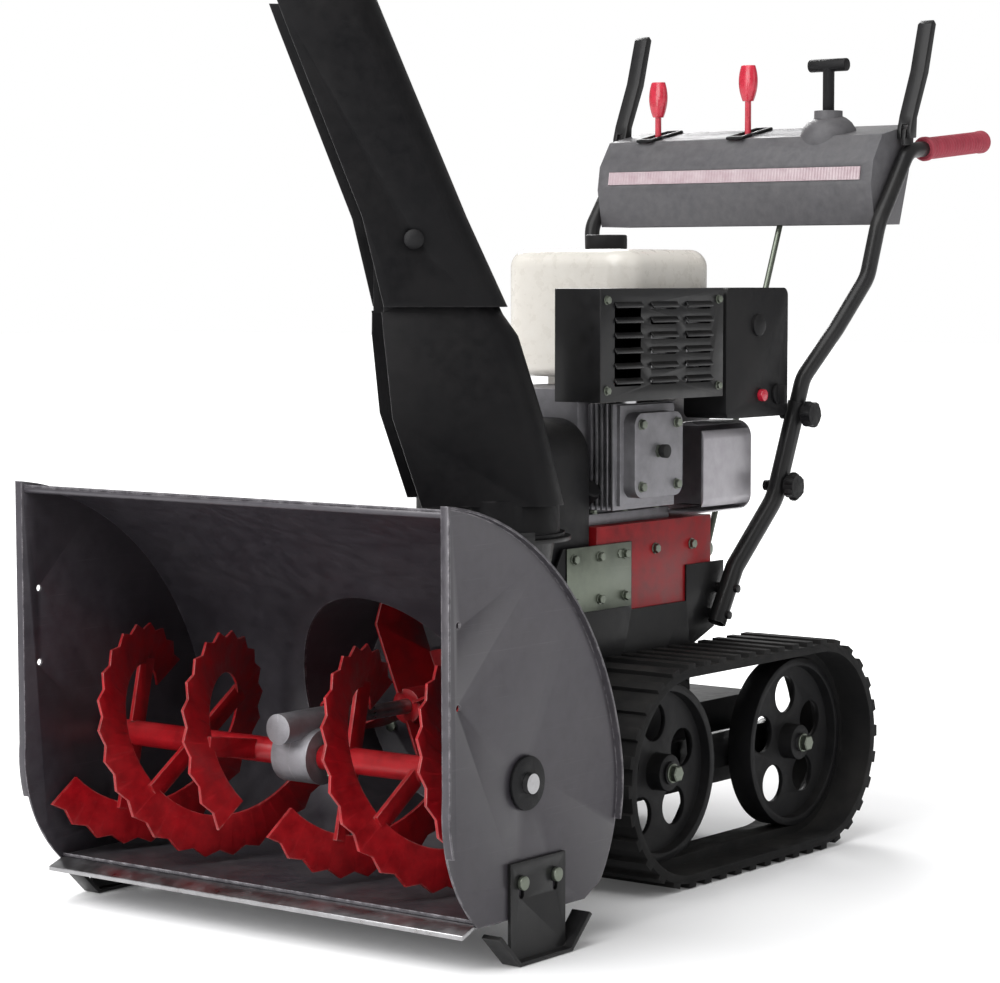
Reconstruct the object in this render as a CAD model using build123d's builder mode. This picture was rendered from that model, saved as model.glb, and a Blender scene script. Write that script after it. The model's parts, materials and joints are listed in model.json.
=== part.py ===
"""Two-stage walk-behind snow blower on rubber tracks.

Frame: millimetres, +Z up, the mouth of the auger housing faces -Y, the operator stands at
+Y, and z = 0 is the ground under the skid shoes and the tracks.  Distances called *_back
are measured rearwards from the mouth of the housing.
"""
from build123d import *
import math
import os

os.makedirs("parts", exist_ok=True)

# ---------------------------------------------------------------- driving dimensions (mm)
mouth_y = -751.1            # the mouth stands here, so that the machine is centred on Y = 0
sheet = 3.0                 # steel sheet of the housing, the drum and the frame
slip = 0.05                 # radial clearance of a shaft in its bearing
play = 0.3                  # clearance between a part that moves and a neighbour

clearing_width = 711.0      # inside width of the auger housing
housing_height = 575.0
housing_depth = 362.0
belly_z = 225.0             # height at which the housing reaches furthest back
heel_back = 290.0
heel_z = 74.0
toe_back = 69.0
chin_z = 223.0
floor_z = 56.0
top_bulge = 86.0            # how far the back of the housing stands off its chord
rim_reach = 9.0             # folded rim around each side plate
rim_foot_z = 150.0

auger_back = 165.0
auger_z = 222.0
auger_radius = 152.0
ribbon_width = 56.0
ribbon_sheet = 4.0
ribbon_turns = 1.0
teeth_per_turn = 24
tooth_depth = 9.0
auger_tube_radius = 17.0
auger_shaft_radius = 12.6
side_gap = 9.0              # between an auger's end and the side plate

worm_distance = 40.0        # worm axis above the auger shaft
worm_wheel_teeth = 11
worm_core_radius = 8.0
worm_tip_radius = 14.5
worm_wheel_addendum = 3.0
impeller_shaft_radius = 10.0

drum_radius = 160.0
drum_back = 483.0
impeller_radius = 150.0
impeller_blades = 4
impeller_front_back = 362.0
impeller_depth = 96.0

chute_x = 100.0
chute_back = 425.0
neck_top_z = 498.0
neck_radius = 91.0
flange_radius = 104.0
chute_wall = 3.5
chute_yaw = 45.0            # degrees to the operator's right of straight ahead, as parked
pivot_reach = 109.0         # deflector pivot, from the chute's axis
pivot_z = 895.0
pivot_radius = 5.0

track_gauge_inner = 142.0
track_width = 140.0
track_front_back = 655.0
track_rear_back = 1000.0
wheel_z = 157.0
belt_inner_radius = 138.0
belt_outer_radius = 150.0
lug_height = 6.7
lug_width = 17.0
lug_count = 42
wheel_radius = 125.0
wheel_width = 40.0
wheel_recess = 47.0         # wheel face in from the track's outer edge
axle_radius = 12.0

frame_half = 128.0
frame_front_back = 640.0
frame_step_back = 876.0
frame_rear_back = 1062.0
frame_floor_z = 92.0
frame_top_z = 372.0
frame_step_z = 218.0
deck_z = 495.0
deck_rear_back = 935.0
deck_skirt_z = 340.0

crank_z = 575.0
auger_belt_back = 570.0
drive_belt_back = 600.0
pulley_width = 16.0
impeller_pulley_radius = 75.0
engine_pulley_radius = 42.0
drive_pulley_radius = 60.0
drive_plate_radius = 70.0
drive_plate_thickness = 9.0
friction_wheel_radius = 42.0
gear_module = 4.0
pinion_teeth = 17
axle_gear_teeth = 27
gear_spread = 0.4           # centre distance beyond the sum of the pitch radii

handle_half = 265.0         # from the middle to each grip
lower_tube_radius = 14.0
tube_radius = 12.0
tube_wall = 1.8
grip_radius = 17.0
lever_pivot_rise = 24.0
dash_sheet = 3.0
lever_width = 24.0

half_width = clearing_width / 2
impeller_z = auger_z + worm_distance
wheel_x = track_gauge_inner + track_width - wheel_recess - wheel_width
sides = (1, -1)


def back(distance):
    """The Y of a point this far behind the mouth."""
    return mouth_y + distance


# ---------------------------------------------------------------- shapes used many times
def block(x0, x1, y0, y1, z0, z1):
    """Box between two corners, with Y given as distances behind the mouth."""
    with BuildPart() as piece:
        with Locations(((x0 + x1) / 2, back((y0 + y1) / 2), (z0 + z1) / 2)):
            Box(abs(x1 - x0), abs(y1 - y0), abs(z1 - z0))
    return piece.part


def bar(start, end, radius, bore=0.0):
    """Round bar or tube between two points."""
    run = Vector(*end) - Vector(*start)
    with BuildPart() as piece:
        with BuildSketch(Plane(origin=start, z_dir=run)):
            Circle(radius)
            if bore:
                Circle(bore, mode=Mode.SUBTRACT)
        extrude(amount=run.length)
    return piece.part


def disc_x(y_back, z, x0, x1, radius, bore=0.0):
    return bar((x0, back(y_back), z), (x1, back(y_back), z), radius, bore)


def disc_y(x, z, back0, back1, radius, bore=0.0):
    return bar((x, back(back0), z), (x, back(back1), z), radius, bore)


def disc_z(x, y_back, z0, z1, radius, bore=0.0):
    return bar((x, back(y_back), z0), (x, back(y_back), z1), radius, bore)


def side_prism(points, x0, x1):
    """Plate cut to a side view of (distance behind the mouth, height) points."""
    with BuildPart() as piece:
        with BuildSketch(Plane.YZ.offset(x0)):
            with BuildLine():
                Polyline(*[(back(y), z) for y, z in points], close=True)
            make_face()
        extrude(amount=x1 - x0)
    return piece.part


def tube_along(points, radii, radius, bore):
    """Bent tube: straight runs joined by arcs."""
    with BuildPart() as piece:
        with BuildLine() as route:
            FilletPolyline(*points, radius=radii)
        with BuildSketch(Plane(origin=route.line @ 0, z_dir=route.line % 0)):
            Circle(radius)
            if bore:
                Circle(bore, mode=Mode.SUBTRACT)
        sweep(path=route.line)
    return piece.part


def gear_x(y_back, z, x0, x1, teeth, phase, bore):
    """Plain spur gear on an X axis, with wide tooth gaps; phase is a tooth's angle from +Y."""
    pitch_radius = gear_module * teeth / 2
    tip_radius = pitch_radius + 0.75 * gear_module
    root_radius = pitch_radius - gear_module
    tip_half = 0.36 * gear_module / tip_radius
    root_half = 0.88 * gear_module / root_radius
    points = []
    for tooth in range(teeth):
        middle = phase + 2 * math.pi * tooth / teeth
        for radius, turn in ((root_radius, -root_half), (tip_radius, -tip_half),
                             (tip_radius, tip_half), (root_radius, root_half)):
            angle = middle + turn
            points.append((back(y_back) + radius * math.cos(angle), z + radius * math.sin(angle)))
    with BuildPart() as piece:
        with BuildSketch(Plane.YZ.offset(x0)):
            with BuildLine():
                Polyline(*points, close=True)
            make_face()
            with Locations((back(y_back), z)):
                Circle(bore, mode=Mode.SUBTRACT)
        extrude(amount=x1 - x0)
    return piece.part


def write(builder, name):
    builder.part.label = name
    export_step(builder.part, f"parts/{name}.step")


# ---------------------------------------------------------------- auger housing
def bulge(start, end, rise):
    """Middle point of an arc that stands off its chord towards the rear."""
    dy, dz = end[0] - start[0], end[1] - start[1]
    length = math.hypot(dy, dz)
    return ((start[0] + end[0]) / 2 - dz / length * rise, (start[1] + end[1]) / 2 + dy / length * rise)


def housing_side(inset, x=0.0):
    """Side view of the housing, drawn in by inset."""
    top = (back(0), housing_height)
    belly = (back(housing_depth), belly_z)
    heel = (back(heel_back + 35), heel_z)
    toe = (back(toe_back), floor_z)
    chin = (back(2), chin_z)
    with BuildSketch(Plane.YZ.offset(x)) as side:
        with BuildLine():
            ThreePointArc(top, bulge(top, belly, top_bulge), belly)
            ThreePointArc(belly, bulge(belly, heel, 14), heel)
            Line(heel, (back(heel_back), floor_z))
            Line((back(heel_back), floor_z), toe)
            ThreePointArc(toe, bulge(toe, chin, 22), chin)
            Line(chin, top)
        make_face()
        if inset:
            offset(amount=-inset)
    return side.sketch


shell_inset = 4.0
lintel_z = housing_height - shell_inset - sheet - 0.2
with BuildPart() as housing_space:
    extrude(housing_side(shell_inset), amount=half_width, both=True)

with BuildPart() as auger_housing:
    add(housing_space.part)
    extrude(housing_side(shell_inset + sheet), amount=half_width, both=True, mode=Mode.SUBTRACT)
    add(side_prism([(-10, lintel_z), (14, lintel_z), (14, chin_z + 8), (40, 140), (toe_back, 90),
        (toe_back, 40),
                    (-10, 40)], -half_width, half_width), mode=Mode.SUBTRACT)
    add(disc_y(0, impeller_z, 100, drum_back, drum_radius - sheet), mode=Mode.SUBTRACT)
    add(disc_x(9, housing_height - shell_inset - 7, -half_width, half_width, 5))
write(auger_housing, "auger_housing")

skid_hole_backs = (150.0, 220.0)
skid_hole_z = 100.0
skid_hole_radius = 5.2
cutter_hole_zs = (330.0, 430.0)
cutter_hole_back = 30.0
cutter_hole_radius = 4.25
bearing_radius = 19.0

for side, side_name in zip(sides, ("left", "right")):
    inner_x = side * half_width
    with BuildPart() as side_plate:
        extrude(housing_side(0, inner_x), amount=side * sheet)
        extrude(housing_side(0, inner_x + side * sheet), amount=side * rim_reach)
        extrude(housing_side(sheet, inner_x + side * sheet), amount=side * rim_reach, mode=Mode.SUBTRACT)
        add(block(inner_x + side * sheet, inner_x + side * (sheet + rim_reach + 1), -10,
                  housing_depth + 10, floor_z - 10, rim_foot_z), mode=Mode.SUBTRACT)
        add(disc_x(auger_back, auger_z, inner_x - side, inner_x + side * (sheet + 1), bearing_radius),
            mode=Mode.SUBTRACT)
        for hole_back in skid_hole_backs:
            add(disc_x(hole_back, skid_hole_z, inner_x - side, inner_x + side * (sheet + 1),
                       skid_hole_radius), mode=Mode.SUBTRACT)
        for hole_z in cutter_hole_zs:
            add(disc_x(cutter_hole_back, hole_z, inner_x - side, inner_x + side * (sheet + 1),
                       cutter_hole_radius), mode=Mode.SUBTRACT)
    write(side_plate, "side_plate_" + side_name)

with BuildPart() as scraper_bar:
    add(side_prism([(120, floor_z - 2), (120, floor_z + shell_inset), (66, floor_z + shell_inset),
                    (42, floor_z - 5), (42, floor_z - 11), (66, floor_z - 2)],
                   -half_width + 0.5, half_width - 0.5))
write(scraper_bar, "scraper_bar")

shoe_sheet = 5.0
with BuildPart() as skid_shoes:
    for side in sides:
        plate_x = side * (half_width + sheet)
        add(block(plate_x, plate_x + side * shoe_sheet, 128, 242, 2, 126))
        add(side_prism([(88, 40), (130, 0), (240, 0), (282, 40), (277, 44), (238, shoe_sheet),
                        (132, shoe_sheet), (93, 44)], plate_x - side * 10, plate_x + side * 18))
        for hole_back in skid_hole_backs:
            for step in range(-3, 4):
                add(disc_x(hole_back, skid_hole_z - 6 + 3 * step, plate_x - side,
                    plate_x + side * (shoe_sheet + 1),
                           skid_hole_radius), mode=Mode.SUBTRACT)
write(skid_shoes, "skid_shoes")

with BuildPart() as impeller_drum:
    add(disc_y(0, impeller_z, 200, drum_back, drum_radius, drum_radius - sheet))
    add(disc_y(0, impeller_z, drum_back - sheet, drum_back, drum_radius, bearing_radius))
    add(housing_space.part, mode=Mode.SUBTRACT)
    with BuildSketch(Plane.XY.offset(impeller_z)):
        with Locations((chute_x - 12, back(chute_back - 9))):
            Rectangle(120, 110)
    extrude(amount=drum_radius + 10, mode=Mode.SUBTRACT)
    for side in sides:
        for hole_z in (impeller_z - 50, impeller_z + 50):
            add(disc_y(side * 112, hole_z, drum_back - 5, drum_back + 1, 4.2), mode=Mode.SUBTRACT)
write(impeller_drum, "impeller_drum")

with BuildPart() as chute_neck:
    with BuildSketch(Plane.XY.offset(impeller_z + 60)):
        with Locations((chute_x - 12, back(chute_back - 9))):
            RectangleRounded(130, 120, 24)
    with BuildSketch(Plane.XY.offset(neck_top_z)):
        with Locations((chute_x, back(chute_back))):
            RectangleRounded(2 * neck_radius, 2 * neck_radius, neck_radius - 1)
    loft()
    with BuildSketch(Plane.XY.offset(impeller_z + 60)):
        with Locations((chute_x - 12, back(chute_back - 9))):
            RectangleRounded(124, 114, 21)
    with BuildSketch(Plane.XY.offset(neck_top_z)):
        with Locations((chute_x, back(chute_back))):
            RectangleRounded(2 * (neck_radius - sheet), 2 * (neck_radius - sheet), neck_radius - sheet - 1)
    loft(mode=Mode.SUBTRACT)
    add(disc_y(0, impeller_z, 150, drum_back + 30, drum_radius), mode=Mode.SUBTRACT)
    add(housing_space.part, mode=Mode.SUBTRACT)
    add(disc_z(chute_x, chute_back, neck_top_z - 5, neck_top_z, flange_radius + 8, neck_radius - sheet - 1))
    for claw in range(3):
        turn = math.radians(90 + 120 * claw)
        claw_x = chute_x + (flange_radius + 4) * math.cos(turn)
        claw_y = chute_back + (flange_radius + 4) * math.sin(turn)
        with BuildPart(mode=Mode.PRIVATE) as keeper:
            add(disc_z(chute_x, chute_back, neck_top_z, neck_top_z + 11, flange_radius + 8,
                flange_radius + 1))
            add(disc_z(chute_x, chute_back, neck_top_z + 6, neck_top_z + 11, flange_radius + 8,
                flange_radius - 4))
            add(disc_z(claw_x, claw_y, neck_top_z - 1, neck_top_z + 12, 22), mode=Mode.INTERSECT)
        add(keeper.part)
write(chute_neck, "chute_neck")

with BuildPart() as housing_bolts:
    for side in sides:
        plate_x = side * half_width
        for hole_back in skid_hole_backs:
            add(disc_x(hole_back, skid_hole_z, plate_x - side * 7, plate_x + side * 14, 5))
            add(disc_x(hole_back, skid_hole_z, plate_x + side * (sheet + shoe_sheet),
                plate_x + side * 14, 9))
            add(disc_x(hole_back, skid_hole_z, plate_x - side * 7, plate_x, 9))
        for hole_z in (impeller_z - 50, impeller_z + 50):
            add(disc_y(side * 112, hole_z, drum_back - 10, drum_back + 13, 4))
            add(disc_y(side * 112, hole_z, drum_back + sheet, drum_back + 13, 8))
            add(disc_y(side * 112, hole_z, drum_back - 10, drum_back - sheet, 8))
write(housing_bolts, "housing_bolts")

with BuildPart() as flange_bearings:
    for side in sides:
        plate_x = side * half_width
        add(disc_x(auger_back, auger_z, plate_x - side * 6, plate_x + side * (sheet + 5), bearing_radius))
        add(disc_x(auger_back, auger_z, plate_x + side * sheet, plate_x + side * (sheet + 5), 34))
        add(disc_x(auger_back, auger_z, plate_x - side * 8, plate_x + side * 20, auger_shaft_radius + slip),
            mode=Mode.SUBTRACT)
    add(disc_y(0, impeller_z, drum_back - 9, drum_back + 5, bearing_radius))
    add(disc_y(0, impeller_z, drum_back, drum_back + 5, 34))
    add(disc_y(0, impeller_z, drum_back - 20, drum_back + 20, impeller_shaft_radius + slip),
        mode=Mode.SUBTRACT)
write(flange_bearings, "flange_bearings")


# ---------------------------------------------------------------- augers and gearcase
gearcase_half = 30.0
flight_start = gearcase_half + 12.0
flight_length = half_width - side_gap - flight_start


def flight(hand, start_angle):
    """Serrated ribbon wound from the gearcase out to the side plate."""
    steps = round(ribbon_turns * teeth_per_turn * 2)
    inner = auger_radius - ribbon_width
    with BuildPart() as ribbon:
        for step in range(steps + 1):
            share = step / steps
            angle = start_angle + hand * 2 * math.pi * ribbon_turns * share
            outer = auger_radius - tooth_depth * (step % 2)
            middle = (inner + outer) / 2
            x = hand * (flight_start + flight_length * share)
            radial = (0, math.cos(angle), math.sin(angle))
            tangent = (0, -math.sin(angle), math.cos(angle))
            with BuildSketch(Plane(origin=(x, back(auger_back), auger_z), x_dir=radial, z_dir=tangent)):
                with Locations((middle, 0)):
                    Rectangle(outer - inner, ribbon_sheet)
        loft(ruled=True)
    return ribbon.part


def spoke(hand, start_angle, share):
    """Flat arm from the auger tube to its ribbon."""
    angle = start_angle + hand * 2 * math.pi * ribbon_turns * share
    x = hand * (flight_start + flight_length * share)
    radial = (0, math.cos(angle), math.sin(angle))
    reach = auger_radius - ribbon_width + 8
    with BuildPart() as arm:
        with BuildSketch(Plane(origin=(x, back(auger_back), auger_z), x_dir=radial, z_dir=(1, 0, 0))):
            with Locations(((auger_tube_radius + reach) / 2 - 1, 0)):
                Rectangle(reach - auger_tube_radius + 2, 26)
        extrude(amount=3, both=True)
    return arm.part


shear_pin_radius = 3.0
shear_pin_x = gearcase_half + 8.0
for hand, side_name in zip(sides, ("left", "right")):
    with BuildPart() as auger:
        add(disc_x(auger_back, auger_z, hand * (gearcase_half + 1), hand * (half_width - side_gap),
                   auger_tube_radius, auger_shaft_radius + slip))
        for start_angle in (0.6, 0.6 + math.pi):
            add(flight(hand, start_angle))
            for share in (0.12, 0.5, 0.88):
                add(spoke(hand, start_angle, share))
        add(disc_x(auger_back, auger_z, hand * gearcase_half, hand * half_width, auger_shaft_radius + slip),
            mode=Mode.SUBTRACT)
        add(disc_z(hand * shear_pin_x, auger_back, auger_z - 30, auger_z + 30, shear_pin_radius + slip),
            mode=Mode.SUBTRACT)
    write(auger, "auger_" + side_name)

with BuildPart() as auger_shaft:
    add(disc_x(auger_back, auger_z, -half_width - sheet - 12, half_width + sheet + 12, auger_shaft_radius))
    for hand in sides:
        add(disc_z(hand * shear_pin_x, auger_back, auger_z - 30, auger_z + 30, shear_pin_radius + slip),
            mode=Mode.SUBTRACT)
write(auger_shaft, "auger_shaft")

with BuildPart() as shear_pins:
    for hand in sides:
        add(disc_z(hand * shear_pin_x, auger_back, auger_z - 24, auger_z + 22, shear_pin_radius))
        add(disc_z(hand * shear_pin_x, auger_back, auger_z + auger_tube_radius, auger_z + 24, 5.5))
write(shear_pins, "shear_pins")

worm_wheel_radius = worm_distance - 12.0
worm_lead = 2 * math.pi * worm_wheel_radius / worm_wheel_teeth
thread_slope = math.degrees(math.atan(worm_lead / (2 * math.pi * 12.0)))
wheel_root_radius = worm_wheel_radius - 4.0

with BuildPart() as worm_wheel:
    add(disc_x(auger_back, auger_z, -9, 9, wheel_root_radius, auger_shaft_radius + slip))
    for tooth in range(worm_wheel_teeth):
        turn = 360 * tooth / worm_wheel_teeth
        with BuildPart(Plane(origin=(0, back(auger_back), auger_z)), mode=Mode.PRIVATE) as cog:
            height = worm_wheel_addendum + 7.0
            middle = wheel_root_radius - 3 + height / 2
            with Locations(Location((0, -middle * math.sin(math.radians(turn)),
                middle * math.cos(math.radians(turn))),
                                    (turn, 0, 0)) * Location((0, 0, 0), (0, 0, -thread_slope))):
                Box(16, 4.6, height)
        add(cog.part)
    add(disc_x(auger_back, auger_z, -20, -9, 60), mode=Mode.SUBTRACT)
    add(disc_x(auger_back, auger_z, 9, 20, 60), mode=Mode.SUBTRACT)
write(worm_wheel, "worm_wheel")

worm_start_turns = -0.4
worm_end_turns = 2.4
with BuildPart() as worm_thread:
    thread_steps = 34
    for step in range(thread_steps + 1):
        turns = worm_start_turns + (worm_end_turns - worm_start_turns) * step / thread_steps
        angle = 2 * math.pi * turns
        y = back(auger_back) + worm_lead * (turns - 1)
        radial = (math.sin(angle), 0, math.cos(angle))
        tangent = (math.cos(angle), 0, -math.sin(angle))
        with BuildSketch(Plane(origin=(0, y, impeller_z), x_dir=radial, z_dir=tangent)):
            with BuildLine():
                Polyline((6, -4.2), (worm_tip_radius, -2.6), (worm_tip_radius, 2.6), (6, 4.2), close=True)
            make_face()
    loft(ruled=True)

nose_back = auger_back - 50.0
pulley_end_back = auger_belt_back + pulley_width / 2 + 6
with BuildPart() as impeller_shaft:
    add(worm_thread.part)
    add(disc_y(0, impeller_z, nose_back, auger_back + 40, worm_core_radius))
    add(disc_y(0, impeller_z, auger_back + 36, pulley_end_back, impeller_shaft_radius))
write(impeller_shaft, "impeller_shaft")

case_wall = 4.0
worm_room = worm_tip_radius + 1.5
wheel_room = worm_wheel_radius + worm_wheel_addendum + 1.5
tail_back = auger_back + 78.0
with BuildPart() as gearcase:
    add(disc_x(auger_back, auger_z, -gearcase_half, gearcase_half, wheel_room + case_wall))
    add(disc_y(0, impeller_z, nose_back - 6, tail_back, worm_room + case_wall))
    add(disc_x(auger_back, auger_z, -gearcase_half + case_wall, gearcase_half - case_wall, wheel_room),
        mode=Mode.SUBTRACT)
    add(disc_y(0, impeller_z, nose_back + 6, tail_back - 14, worm_room), mode=Mode.SUBTRACT)
    add(disc_x(auger_back, auger_z, -60, 60, auger_shaft_radius + slip), mode=Mode.SUBTRACT)
    add(disc_y(0, impeller_z, nose_back - 1, nose_back + 10, worm_core_radius + slip), mode=Mode.SUBTRACT)
    add(disc_y(0, impeller_z, tail_back - 20, tail_back + 10, impeller_shaft_radius + slip),
        mode=Mode.SUBTRACT)
    split(bisect_by=Plane.YZ, keep=Keep.BOTH)
write(gearcase, "gearcase")

with BuildPart() as impeller:
    hub_front = impeller_front_back + 10
    hub_end = impeller_front_back + impeller_depth
    add(disc_y(0, impeller_z, hub_front, hub_end, 24))
    add(disc_y(0, impeller_z, hub_end - 4, hub_end, 70))
    for blade in range(impeller_blades):
        turn = 2 * math.pi * (blade + 0.25) / impeller_blades
        outward = (math.cos(turn), 0, math.sin(turn))
        with BuildPart(mode=Mode.PRIVATE) as paddle:
            with BuildSketch(Plane(origin=(0, back(hub_end), impeller_z), x_dir=outward, z_dir=(0, -1, 0))):
                with BuildLine():
                    Polyline((20, -2), (118, -2), (impeller_radius - 3, -26), (impeller_radius - 1, -22),
                             (120, 2), (20, 2), close=True)
                make_face()
            extrude(amount=impeller_depth)
        add(paddle.part)
    add(disc_y(0, impeller_z, hub_front - 20, hub_end + 10, impeller_shaft_radius + slip),
        mode=Mode.SUBTRACT)
write(impeller, "impeller")


# ---------------------------------------------------------------- belts and pulleys
def pulley(x, z, middle_back, radius, bore):
    """V pulley on a Y axis."""
    half = pulley_width / 2
    with BuildPart() as wheel:
        with BuildSketch(Plane(origin=(x, back(middle_back), z), x_dir=(1, 0, 0), z_dir=(0, 0, 1))):
            with BuildLine():
                Polyline((bore, -half), (radius, -half), (radius, -half + 1.5), (radius - 10, -2.5),
                         (radius - 10, 2.5), (radius, half - 1.5), (radius, half), (bore, half), close=True)
            make_face()
        revolve(axis=Axis((x, back(middle_back), z), (0, 1, 0)))
    return wheel.part


with BuildPart() as impeller_pulley:
    add(pulley(0, impeller_z, auger_belt_back, impeller_pulley_radius, impeller_shaft_radius + slip))
write(impeller_pulley, "impeller_pulley")

crank_radius = 12.7
with BuildPart() as engine_pulleys:
    for belt_back in (auger_belt_back, drive_belt_back):
        add(pulley(0, crank_z, belt_back, engine_pulley_radius, crank_radius + slip))
write(engine_pulleys, "engine_pulleys")

pinion_pitch = gear_module * pinion_teeth / 2
axle_gear_pitch = gear_module * axle_gear_teeth / 2
gear_distance = pinion_pitch + axle_gear_pitch + gear_spread
gear_angle = math.atan2(13.0, -87.0)
hex_back = track_rear_back + gear_distance * math.cos(gear_angle)
hex_z = wheel_z + gear_distance * math.sin(gear_angle)


def belt(low_z, low_radius, belt_back):
    """Closed V belt around the engine pulley above and a driven pulley below."""
    clear = 0.4
    top = engine_pulley_radius - 10 + clear
    low = low_radius - 10 + clear
    rise = crank_z - low_z
    lean = math.asin((low - top) / rise)
    with BuildPart() as loop:
        for grow, mode in ((8.0, Mode.ADD), (0.0, Mode.SUBTRACT)):
            with BuildSketch(Plane.XZ.offset(-back(belt_back - 2.2))):
                with BuildLine():
                    spots = []
                    for z, r in ((low_z, low + grow), (crank_z, top + grow)):
                        spots.append((r * math.cos(lean), z + r * math.sin(lean), z, r))
                    Line((spots[0][0], spots[0][1]), (spots[1][0], spots[1][1]))
                    ThreePointArc((spots[1][0], spots[1][1]), (0, spots[1][2] + spots[1][3]),
                                  (-spots[1][0], spots[1][1]))
                    Line((-spots[1][0], spots[1][1]), (-spots[0][0], spots[0][1]))
                    ThreePointArc((-spots[0][0], spots[0][1]), (0, spots[0][2] - spots[0][3]),
                                  (spots[0][0], spots[0][1]))
                make_face()
            extrude(amount=-4.4, mode=mode)
    return loop.part


with BuildPart() as belts:
    add(belt(impeller_z, impeller_pulley_radius, auger_belt_back))
    add(belt(hex_z, drive_pulley_radius, drive_belt_back))
write(belts, "belts")

idler_radius = 24.0
idler_z = 430.0
idler_arm_length = 62.0
idler_x = 88.0
idler_pin_x = 104.0
idler_pin_z = idler_z - idler_arm_length
idler_pin_radius = 5.0
idler_boss_radius = 11.0


def idler(side, belt_back):
    """Tensioner: an arm on a pivot pin, and its flat pulley, standing off the slack belt."""
    with BuildPart() as tensioner:
        with BuildSketch(Plane.XZ.offset(-back(belt_back + 6))):
            with Locations((side * idler_pin_x, idler_pin_z)):
                Circle(idler_boss_radius)
            with Locations((side * idler_x, idler_z)):
                Circle(9)
            make_hull()
        extrude(amount=-6)
        add(disc_y(side * idler_x, idler_z, belt_back - 7, belt_back + 6, idler_radius))
        add(disc_y(side * idler_pin_x, idler_pin_z, belt_back + 1, belt_back + 16, idler_pin_radius + slip),
            mode=Mode.SUBTRACT)
    return tensioner.part


with BuildPart() as auger_idler:
    add(idler(1, auger_belt_back))
write(auger_idler, "auger_idler")
with BuildPart() as drive_idler:
    add(idler(-1, drive_belt_back))
write(drive_idler, "drive_idler")

cover_wall = 3.5
cover_half = idler_pin_x + idler_boss_radius + play + cover_wall
cover_front = auger_belt_back - 25.0
cover_rear = frame_front_back - 6.0
cover_low = frame_top_z + 4.0
cover_top = crank_z + engine_pulley_radius + 31.0
with BuildPart() as belt_cover:
    for wall, open_end, mode in ((0.0, 0.0, Mode.ADD), (cover_wall, 10.0, Mode.SUBTRACT)):
        with BuildSketch(Plane.XZ.offset(-back(cover_front + wall))):
            with Locations((0, (cover_low + cover_top) / 2)):
                RectangleRounded(2 * (cover_half - wall), cover_top - cover_low - 2 * wall, 55 - wall)
            with Locations((0, cover_low + 36 - open_end / 2)):
                Rectangle(2 * (cover_half - wall), 72 + open_end)
        extrude(amount=cover_front - cover_rear - open_end, mode=mode)
write(belt_cover, "belt_cover")

# ---------------------------------------------------------------- frame and engine deck
inside_half = frame_half - sheet
with BuildPart() as frame_box:
    add(side_prism([(frame_front_back, frame_floor_z), (frame_front_back, frame_top_z),
        (frame_step_back, frame_top_z),
                    (frame_step_back, frame_step_z), (frame_rear_back, frame_step_z),
                    (frame_rear_back, frame_floor_z)], -frame_half, frame_half))
    add(side_prism([(frame_front_back + sheet, frame_floor_z + sheet),
        (frame_front_back + sheet, frame_top_z + 1),
                    (frame_step_back - sheet, frame_top_z + 1), (frame_step_back - sheet,
                        frame_step_z - sheet),
                    (frame_rear_back - sheet, frame_step_z - sheet), (frame_rear_back - sheet,
                        frame_floor_z + sheet)],
                   -inside_half, inside_half), mode=Mode.SUBTRACT)
    for side in sides:
        cheek_x = side * inside_half
        add(side_prism([(drum_back, impeller_z - 92), (drum_back, impeller_z + 92), (560, 470), (725, 470),
                        (725, frame_top_z - 20), (frame_front_back, frame_floor_z), (590,
                            frame_floor_z + 20)],
                       cheek_x, cheek_x + side * sheet))
        add(side_prism([(frame_step_back - 10, 300), (frame_step_back - 10, 425), (965, 425),
            (965, 395), (940, 328)],
                       cheek_x, cheek_x + side * sheet))
        for low, high in ((impeller_z - 66, impeller_z - 34), (impeller_z + 34, impeller_z + 66)):
            add(block(cheek_x, cheek_x - side * 26, drum_back, drum_back + sheet, low, high))
        for hole_z in (impeller_z - 50, impeller_z + 50):
            add(disc_y(side * 112, hole_z, drum_back - 1, drum_back + sheet + 1, 4.2), mode=Mode.SUBTRACT)
        add(disc_x(track_rear_back, wheel_z, cheek_x - side, cheek_x + side * (sheet + 1),
            axle_radius + slip),
            mode=Mode.SUBTRACT)
        add(disc_x(hex_back, hex_z, cheek_x - side, cheek_x + side * (sheet + 1), 9 + slip),
            mode=Mode.SUBTRACT)
        pin_belt = auger_belt_back if side > 0 else drive_belt_back
        add(disc_y(side * idler_pin_x, idler_pin_z, pin_belt + 4, frame_front_back + 1, idler_pin_radius))
    add(disc_y(0, hex_z, frame_front_back - 1, frame_front_back + sheet + 1, 10 + slip), mode=Mode.SUBTRACT)
    add(block(-inside_half, inside_half, frame_step_back - sheet - 1, frame_step_back + 1,
        deck_skirt_z - 0.5,
              frame_top_z + 1), mode=Mode.SUBTRACT)
write(frame_box, "frame_box")

with BuildPart() as engine_deck:
    add(block(-inside_half, inside_half, frame_front_back + sheet, deck_rear_back, deck_skirt_z, deck_z))
    add(block(-inside_half + sheet, inside_half - sheet, frame_front_back + 2 * sheet,
        deck_rear_back - sheet,
              frame_top_z - 40, deck_z - sheet), mode=Mode.SUBTRACT)
write(engine_deck, "engine_deck")

plate_back = hex_back - friction_wheel_radius - 0.8
with BuildPart() as drive_plate:
    add(disc_y(0, hex_z, plate_back - drive_plate_thickness, plate_back, drive_plate_radius))
    add(disc_y(0, hex_z, drive_belt_back - 10, plate_back - 2, 10))
    add(pulley(0, hex_z, drive_belt_back, drive_pulley_radius, 9))
write(drive_plate, "drive_plate")

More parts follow.
